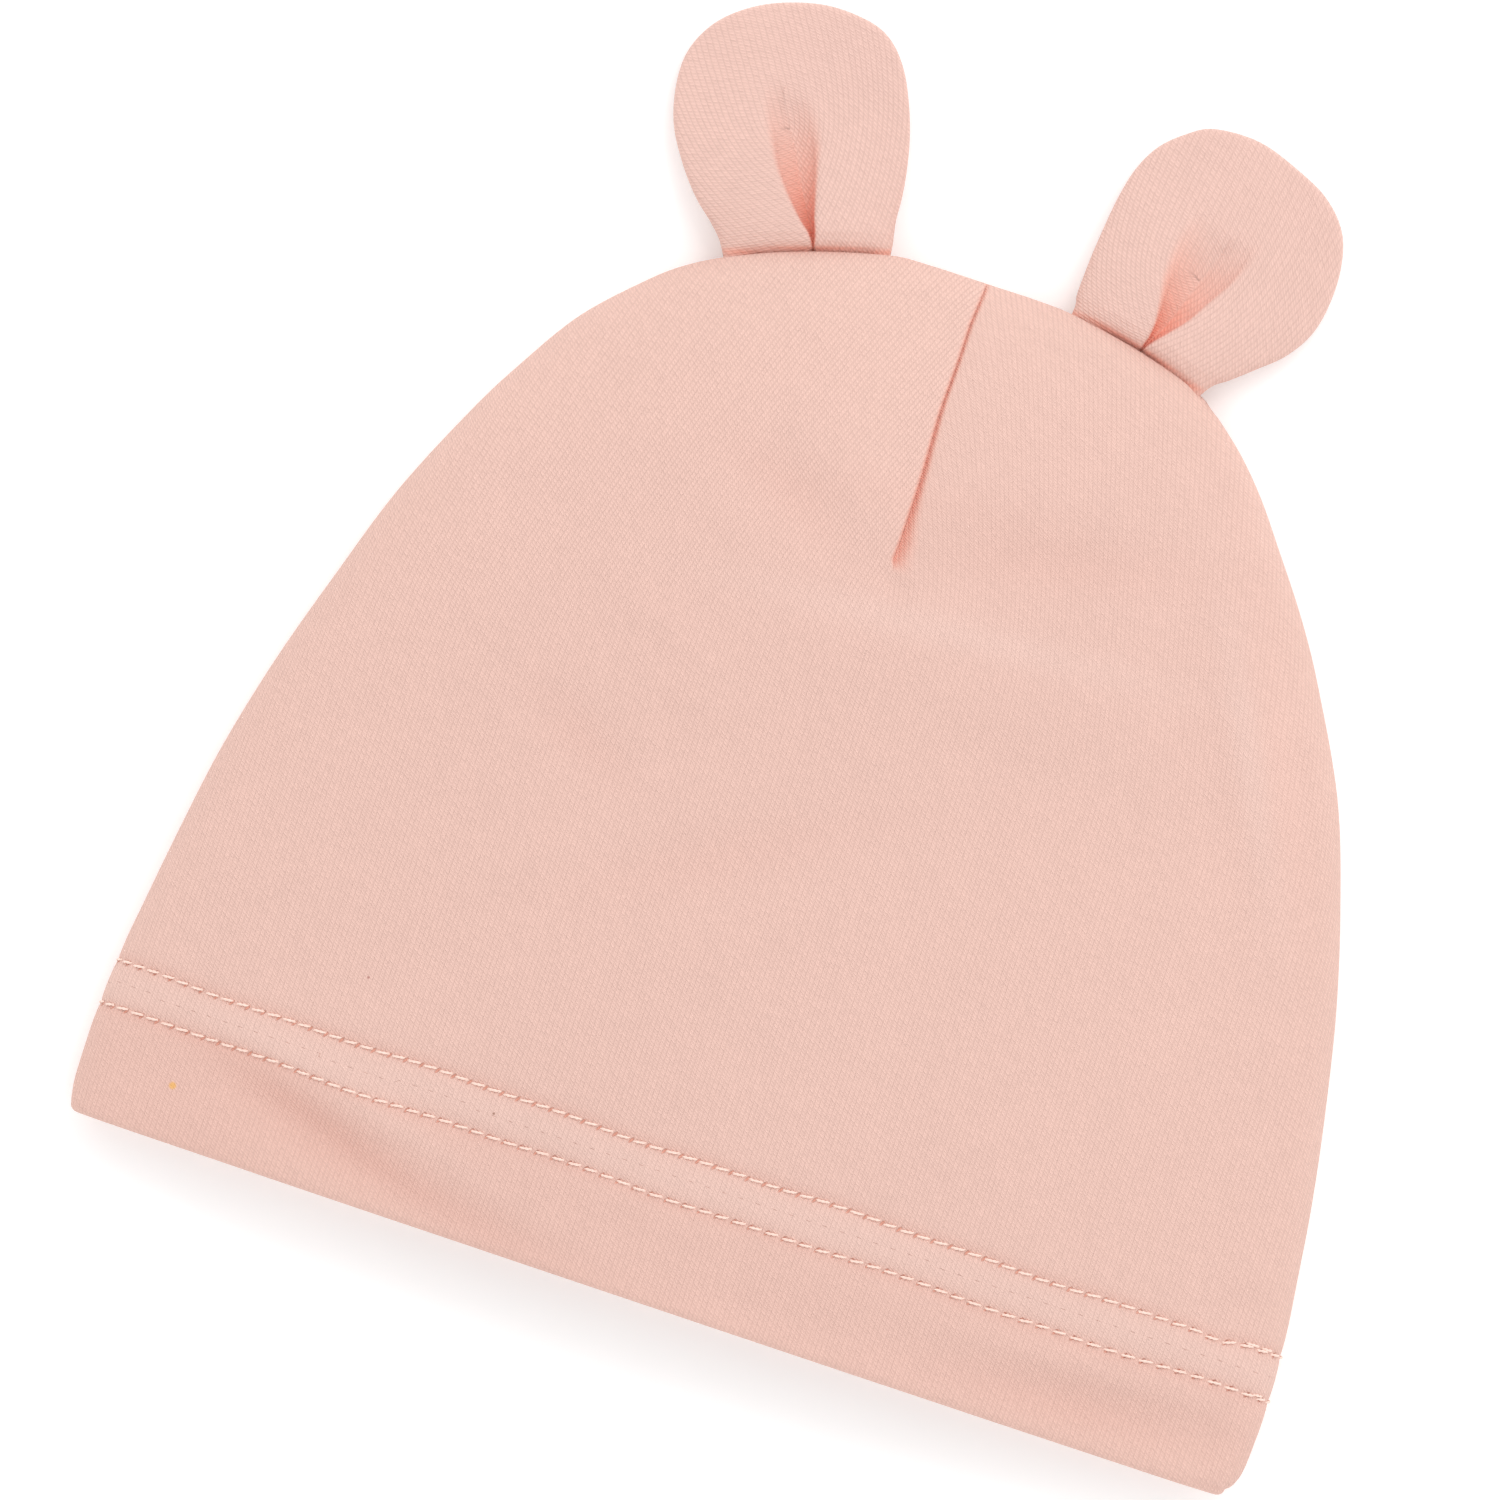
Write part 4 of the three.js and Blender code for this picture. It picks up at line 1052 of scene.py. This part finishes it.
# the seam starts and ends at the right: a few strands lie double there
for row, (x0, x1) in ((1, (82.0, 87.0)), (0, (85.2, 87.3))):
    line = lines["front", row]
    keep = (line.p[:, 0] > x0) & (line.p[:, 0] < x1)
    d0, d1 = line.d[keep][0], line.d[keep][-1]
    d = d0
    while d < d1 - 1.2:
        t = np.linspace(0, 1, 9)
        p, n = line.at(d + 1.9 * t)
        arch = np.sin(np.pi * t) ** 0.6
        path = p + n * (-0.4 * (1 - arch) + 0.0 * arch)[:, None]
        path[:, 1] += 0.34 + 0.1 * (t - 0.5)
        for strand in two_ply(path, n, apart=0.085, turns=1.5, start=rng.uniform(0, 6.28)):
            all_paths.append(strand)
        d += 2.45
pts, quads, tris = tubes(all_paths, 0.132, 6)
stitches = make_mesh("hem_stitches", pts, [quads, tris], recalc=False)

# Inside, the looper thread crosses between the two rows.
loop_paths = []
for face in ("front", "back"):
    lo, up = lines[face, 0], lines[face, 1]
    total = min(lo.d[-1], up.d[-1])
    ring_in = 5.5
    d = ring_in
    while d < total - ring_in:
        x = lo.at(np.array([d]))[0][0, 0]
        pitch = pitch_at(x)
        pl, nl = lo.at(np.array([d, d + pitch * 0.5]))
        pu, nu = up.at(np.array([d + pitch * 0.25, d + pitch * 0.75]))
        depth = FOLD - 0.12 + 0.11
        corners = np.array([pl[0] - nl[0] * depth, pu[0] - nu[0] * depth, pl[1] - nl[1] * depth, pu[1] - nu[1] * depth])
        for a, b, na in ((corners[0], corners[1], nl[0]), (corners[1], corners[2], nl[1]), (corners[2], corners[3], nl[1])):
            t = np.linspace(0, 1, 6)[:, None]
            path = a + (b - a) * t - na * (0.12 * np.sin(np.pi * t))
            loop_paths.append(path)
        d += pitch
pts, quads, tris = tubes(loop_paths, 0.13, 5)
looper = make_mesh("looper_threads", pts, [quads, tris], recalc=False)


# ---------------------------------------------------------------- materials
class Nodes:
    """A short way to write a node material."""

    def __init__(self, name):
        self.mat = bpy.data.materials.new(name)
        self.mat.use_nodes = True
        self.tree = self.mat.node_tree
        self.tree.nodes.clear()

    def node(self, kind, **settings):
        n = self.tree.nodes.new(kind)
        for k, v in settings.items():
            setattr(n, k, v)
        return n

    def link(self, a, b):
        self.tree.links.new(a, b)

    def put(self, socket, value):
        if isinstance(value, bpy.types.NodeSocket):
            self.link(value, socket)
        else:
            socket.default_value = value

    def math(self, op, a, b=None, c=None, clamp=False):
        n = self.node("ShaderNodeMath", operation=op, use_clamp=clamp)
        self.put(n.inputs[0], a)
        if b is not None:
            self.put(n.inputs[1], b)
        if c is not None:
            self.put(n.inputs[2], c)
        return n.outputs[0]

    def noise(self, vector, scale, detail=2.0, rough=0.5):
        n = self.node("ShaderNodeTexNoise")
        self.put(n.inputs["Vector"], vector)
        n.inputs["Scale"].default_value = scale
        n.inputs["Detail"].default_value = detail
        n.inputs["Roughness"].default_value = rough
        return n.outputs["Fac"]

    def mix(self, factor, a, b):
        n = self.node("ShaderNodeMix", data_type="RGBA", clamp_factor=True)
        self.put(n.inputs[0], factor)
        self.put(n.inputs[6], a)
        self.put(n.inputs[7], b)
        return n.outputs[2]

    def scale_colour(self, colour, amount):
        n = self.node("ShaderNodeVectorMath", operation="SCALE")
        self.put(n.inputs[0], colour[:3] if isinstance(colour, tuple) else colour)
        self.put(n.inputs[3], amount)
        return n.outputs[0]

    def ramp(self, value, lo, hi, a=0.0, b=1.0):
        n = self.node("ShaderNodeMapRange", interpolation_type="SMOOTHSTEP")
        self.put(n.inputs[0], value)
        n.inputs[1].default_value, n.inputs[2].default_value = lo, hi
        n.inputs[3].default_value, n.inputs[4].default_value = a, b
        return n.outputs[0]


BODY_COLOUR = (0.800, 0.536, 0.464, 1)
# colour of the painted shade in the needle holes
PAINTED_HOLE_SHADE = (0.72, 0.25, 0.16, 1)
# colour of the painted coral shade in the dart's crease, the ears' hollows and the ears' seam lines
PAINTED_CREASE_SHADE = (0.93, 0.33, 0.22, 1)


def jersey(name, colour, wale=0.69, course=0.44, stitched=False, marks=False, with_painted_shade=False):
    m = Nodes(name)
    uvn = m.node("ShaderNodeUVMap", uv_map="knit")
    sep = m.node("ShaderNodeSeparateXYZ")
    m.link(uvn.outputs[0], sep.inputs[0])
    coord = m.node("ShaderNodeTexCoord")
    obj = coord.outputs["Object"]
    wobble = m.math("MULTIPLY", m.math("SUBTRACT", m.noise(obj, 420.0, 2.0), 0.5), 0.5)
    u = m.math("ADD", m.math("MULTIPLY", sep.outputs[0], 1 / wale), m.math("MULTIPLY", wobble, 0.5))
    v = m.math("ADD", m.math("MULTIPLY", sep.outputs[1], 1 / course), m.math("MULTIPLY", wobble, 0.9))
    a = m.math("MULTIPLY", m.math("ABSOLUTE", m.math("SUBTRACT", m.math("FRACT", u), 0.5)), 2.0)
    # each wale is a row of slanting stitches, and every second course is raised a little, which gives the cloth its slanting grain
    leg = m.math("ADD", v, u)
    wave = m.math("SINE", m.math("MULTIPLY", leg, 2 * math.pi))
    grain = m.math("SINE", m.math("MULTIPLY", m.math("ADD", m.math("MULTIPLY", v, 0.5), m.math("MULTIPLY", u, 0.25)), 2 * math.pi))
    groove = m.math("SUBTRACT", 1.0, m.math("POWER", a, 3.0))
    height = m.math("MULTIPLY", groove, m.math("MULTIPLY_ADD", wave, 0.36, 0.6))
    height = m.math("ADD", height, m.math("MULTIPLY", grain, 0.07))
    each = m.node("ShaderNodeTexWhiteNoise", noise_dimensions="2D")
    place = m.node("ShaderNodeCombineXYZ")
    m.put(place.inputs[0], m.math("FLOOR", u))
    m.put(place.inputs[1], m.math("FLOOR", leg))
    m.link(place.outputs[0], each.inputs["Vector"])
    cell = m.math("SUBTRACT", each.outputs["Value"], 0.5)
    fuzz = m.noise(obj, 2600.0, 3.0, 0.65)
    slow = m.noise(obj, 26.0, 3.0, 0.55)
    mottle = m.noise(obj, 170.0, 3.0, 0.6)
    # the loops' tops are painted lighter and the grooves between the wales darker, as shade; cell, fuzz, slow and
    # mottle vary the tone at random
    amount = m.math("ADD", 0.93, m.math("MULTIPLY", height, 0.155))
    amount = m.math("ADD", amount, m.math("MULTIPLY", cell, 0.045))
    amount = m.math("ADD", amount, m.math("MULTIPLY", m.math("SUBTRACT", fuzz, 0.5), 0.10))
    amount = m.math("ADD", amount, m.math("MULTIPLY", m.math("SUBTRACT", slow, 0.5), 0.05))
    amount = m.math("ADD", amount, m.math("MULTIPLY", m.math("SUBTRACT", mottle, 0.5), 0.05))
    # painted shade: the colour deepens in the grooves between the wales
    painted_shade = m.mix(m.math("MULTIPLY", m.math("SUBTRACT", 1.0, height), 0.16), colour, (colour[0] * 0.99, colour[1] * 0.86, colour[2] * 0.82, 1))
    colour_out = m.scale_colour(painted_shade, amount)
    total = m.math("MULTIPLY", height, 1.0)
    total = m.math("ADD", total, m.math("MULTIPLY", fuzz, 0.55))
    total = m.math("ADD", total, m.math("MULTIPLY", cell, 0.22))
    if with_painted_shade:
        tuv = m.node("ShaderNodeUVMap", uv_map="painted_shade")
        ts = m.node("ShaderNodeSeparateXYZ")
        m.link(tuv.outputs[0], ts.inputs[0])
        # painted coral shade from the map's first channel: in the dart's crease, the ears' hollows and along the ears'
        # seams
        colour_out = m.mix(m.math("MULTIPLY", ts.outputs[0], 0.9), colour_out, m.scale_colour(PAINTED_CREASE_SHADE, amount))
        # the map's second channel deepens the colour where the hem is two layers thick, and as painted shade of the
        # folds and of the stitch rows' sides; it lightens the colour as painted highlight on the puffed band and the
        # folds' lit sides
        deeper = m.math("MULTIPLY", m.math("MAXIMUM", m.math("MULTIPLY", ts.outputs[1], -1.0), 0.0), 0.11)
        colour_out = m.mix(deeper, colour_out, (colour[0] * 0.85, colour[1] * 0.45, colour[2] * 0.36, 1))
        lighter = m.math("MULTIPLY", m.math("MAXIMUM", ts.outputs[1], 0.0), 0.16)
        colour_out = m.mix(lighter, colour_out, (1.0, 0.86, 0.80, 1))
    if stitched:
        suv = m.node("ShaderNodeUVMap", uv_map="stitch")
        ss = m.node("ShaderNodeSeparateXYZ")
        m.link(suv.outputs[0], ss.inputs[0])
        # needle holes: a short slanting dash of painted shade at each whole number of stitches, a little below the row
        along = m.math("SUBTRACT", m.math("FRACT", m.math("ADD", ss.outputs[0], 0.5)), 0.5)
        along = m.math("MULTIPLY", along, 2.475)
        across = m.math("ADD", ss.outputs[1], 0.1)
        slanted = m.math("SUBTRACT", along, m.math("MULTIPLY", across, 0.55))
        e1 = m.math("POWER", m.math("ABSOLUTE", m.math("DIVIDE", slanted, 0.27)), 2.0)
        e2 = m.math("POWER", m.math("ABSOLUTE", m.math("DIVIDE", across, 0.5)), 2.0)
        hole = m.ramp(m.math("ADD", e1, e2), 1.3, 0.15)
        # a faint painted shade along each stitch row's groove
        line = m.ramp(m.math("ABSOLUTE", ss.outputs[1]), 0.55, 0.1)
        colour_out = m.mix(m.math("MULTIPLY", line, 0.10), colour_out, (colour[0] * 0.98, colour[1] * 0.72, colour[2] * 0.62, 1))
        colour_out = m.mix(m.math("MULTIPLY", hole, 0.62), colour_out, PAINTED_HOLE_SHADE)
        total = m.math("SUBTRACT", total, m.math("MULTIPLY", hole, 1.6))
    if marks:
        for x, y, size, paint, strong in ((-74.0, 9.0, 0.62, (0.88, 0.47, 0.12, 1), 0.8), (-52.4, 32.3, 0.24, (0.42, 0.16, 0.14, 1), 0.65), (-29.5, 19.65, 0.22, (0.30, 0.13, 0.08, 1), 0.7)):
            d = m.node("ShaderNodeVectorMath", operation="DISTANCE")
            flat = m.node("ShaderNodeVectorMath", operation="MULTIPLY")
            m.put(flat.inputs[0], obj)
            flat.inputs[1].default_value = (1, 1, 0)
            m.link(flat.outputs[0], d.inputs[0])
            d.inputs[1].default_value = (x / 1000, (y - MID_Y) / 1000, 0)
            dist = m.math("ADD", m.math("MULTIPLY", d.outputs["Value"], 1000.0), m.math("MULTIPLY", m.math("SUBTRACT", fuzz, 0.5), 0.35))
            spot = m.ramp(dist, size * 1.15, size * 0.45)
            colour_out = m.mix(m.math("MULTIPLY", spot, strong), colour_out, paint)
    bump = m.node("ShaderNodeBump")
    bump.inputs["Strength"].default_value = 0.7
    bump.inputs["Distance"].default_value = 0.00018
    m.link(total, bump.inputs["Height"])
    shader = m.node("ShaderNodeBsdfPrincipled")
    m.link(colour_out, shader.inputs["Base Color"])
    m.link(bump.outputs[0], shader.inputs["Normal"])
    shader.inputs["Roughness"].default_value = 0.92
    shader.inputs["Specular IOR Level"].default_value = 0.18
    shader.inputs["Sheen Weight"].default_value = 0.22
    shader.inputs["Sheen Roughness"].default_value = 0.45
    shader.inputs["Sheen Tint"].default_value = (1.0, 0.86, 0.8, 1)
    out = m.node("ShaderNodeOutputMaterial")
    m.link(shader.outputs[0], out.inputs[0])
    return m.mat


def thread(name, colour):
    m = Nodes(name)
    coord = m.node("ShaderNodeTexCoord")
    n = m.noise(coord.outputs["Object"], 5200.0, 2.0, 0.6)
    amount = m.math("ADD", 0.9, m.math("MULTIPLY", n, 0.2))
    shader = m.node("ShaderNodeBsdfPrincipled")
    m.link(m.scale_colour(colour, amount), shader.inputs["Base Color"])
    shader.inputs["Roughness"].default_value = 0.6
    shader.inputs["Specular IOR Level"].default_value = 0.35
    shader.inputs["Sheen Weight"].default_value = 0.2
    bump = m.node("ShaderNodeBump")
    bump.inputs["Strength"].default_value = 0.4
    bump.inputs["Distance"].default_value = 0.00006
    m.link(n, bump.inputs["Height"])
    m.link(bump.outputs[0], shader.inputs["Normal"])
    out = m.node("ShaderNodeOutputMaterial")
    m.link(shader.outputs[0], out.inputs[0])
    return m.mat


jersey_body = jersey("jersey_body", BODY_COLOUR, stitched=True, marks=True, with_painted_shade=True)
jersey_back = jersey("jersey_back", BODY_COLOUR, stitched=True)
EAR_COLOUR = (BODY_COLOUR[0] * 1.0, BODY_COLOUR[1] * 1.0, BODY_COLOUR[2] * 1.01, 1)
jersey_ear = jersey("jersey_ear", EAR_COLOUR, with_painted_shade=True)
sewing = thread("sewing_thread", (0.97, 0.735, 0.64, 1))
front.data.materials.append(jersey_body)
back.data.materials.append(jersey_back)
left_ear.data.materials.append(jersey_ear)
right_ear.data.materials.append(jersey_ear)
stitches.data.materials.append(sewing)
looper.data.materials.append(sewing)

# ---------------------------------------------------------------- joining the frame
for piece in (front, back, left_ear, right_ear, stitches, looper):
    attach(piece, "root")
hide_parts("front_panel", "front_hem")
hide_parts("back_panel", "back_hem")
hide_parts("left_ear")
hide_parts("right_ear")


def half_surface(ob):
    return sum(p.area for p in ob.data.polygons) / 2


print("areas m2:", {o.name: round(half_surface(o), 5) for o in (front, back, left_ear, right_ear)})
print("triangles:", {o.name: sum(len(p.vertices) - 2 for p in o.data.polygons) for o in (front, back, left_ear, right_ear, stitches, looper)})

# ---------------------------------------------------------------- floor, light and camera
bpy.ops.mesh.primitive_plane_add(size=4.0, location=(0, 0, -0.0001))
floor = bpy.context.object
floor.name = "floor"
fm = Nodes("floor_white")
fs = fm.node("ShaderNodeBsdfPrincipled")
fn = fm.noise(fm.node("ShaderNodeTexCoord").outputs["Object"], 3.0, 2.0)
fm.link(fm.scale_colour((0.96, 0.96, 0.96, 1), fm.math("ADD", 0.995, fm.math("MULTIPLY", fn, 0.01))), fs.inputs["Base Color"])
fs.inputs["Roughness"].default_value = 0.9
fs.inputs["Emission Color"].default_value = (1, 1, 1, 1)
fs.inputs["Emission Strength"].default_value = 0.16
fs.inputs["Specular IOR Level"].default_value = 0.1
fo = fm.node("ShaderNodeOutputMaterial")
fm.link(fs.outputs[0], fo.inputs[0])
floor.data.materials.append(fm.mat)

scene = bpy.context.scene
scene.view_settings.view_transform = "Standard"
world = bpy.data.worlds.new("studio")
world.use_nodes = True
world.node_tree.nodes["Background"].inputs[0].default_value = (1, 1, 1, 1)
world.node_tree.nodes["Background"].inputs[1].default_value = 1.02
scene.world = world

TILT = math.radians(18.3)
RIGHT = Vector((math.cos(TILT), math.sin(TILT), 0))
UP = Vector((-math.sin(TILT), math.cos(TILT), 0))


def area_light(name, towards, distance, size, energy, target=(0, 0, 0.005)):
    data = bpy.data.lights.new(name, "AREA")
    data.shape = "DISK"
    data.size = size
    data.energy = energy
    ob = bpy.data.objects.new(name, data)
    scene.collection.objects.link(ob)
    place = Vector(target) + Vector(towards).normalized() * distance
    ob.location = place
    ob.rotation_euler = (place - Vector(target)).to_track_quat("Z", "Y").to_euler()
    return ob


area_light("key", UP * 0.7 + RIGHT * 0.45 + Vector((0, 0, 1.0)), 1.6, 0.9, 5.3)

cam_data = bpy.data.cameras.new("camera")
cam_data.sensor_width = 36
cam_data.lens = 500
cam = bpy.data.objects.new("camera", cam_data)
scene.collection.objects.link(cam)
centre = Vector((-0.01125, -0.01267, 0.005))
cam.location = centre + Vector((0, 0, 0.213 * 500 / 36))
cam.matrix_world = Matrix(
    (
        (RIGHT.x, UP.x, 0, cam.location.x),
        (RIGHT.y, UP.y, 0, cam.location.y),
        (0, 0, 1, cam.location.z),
        (0, 0, 0, 1),
    )
)
cam_data.clip_start = 0.01
cam_data.clip_end = 10
scene.camera = cam
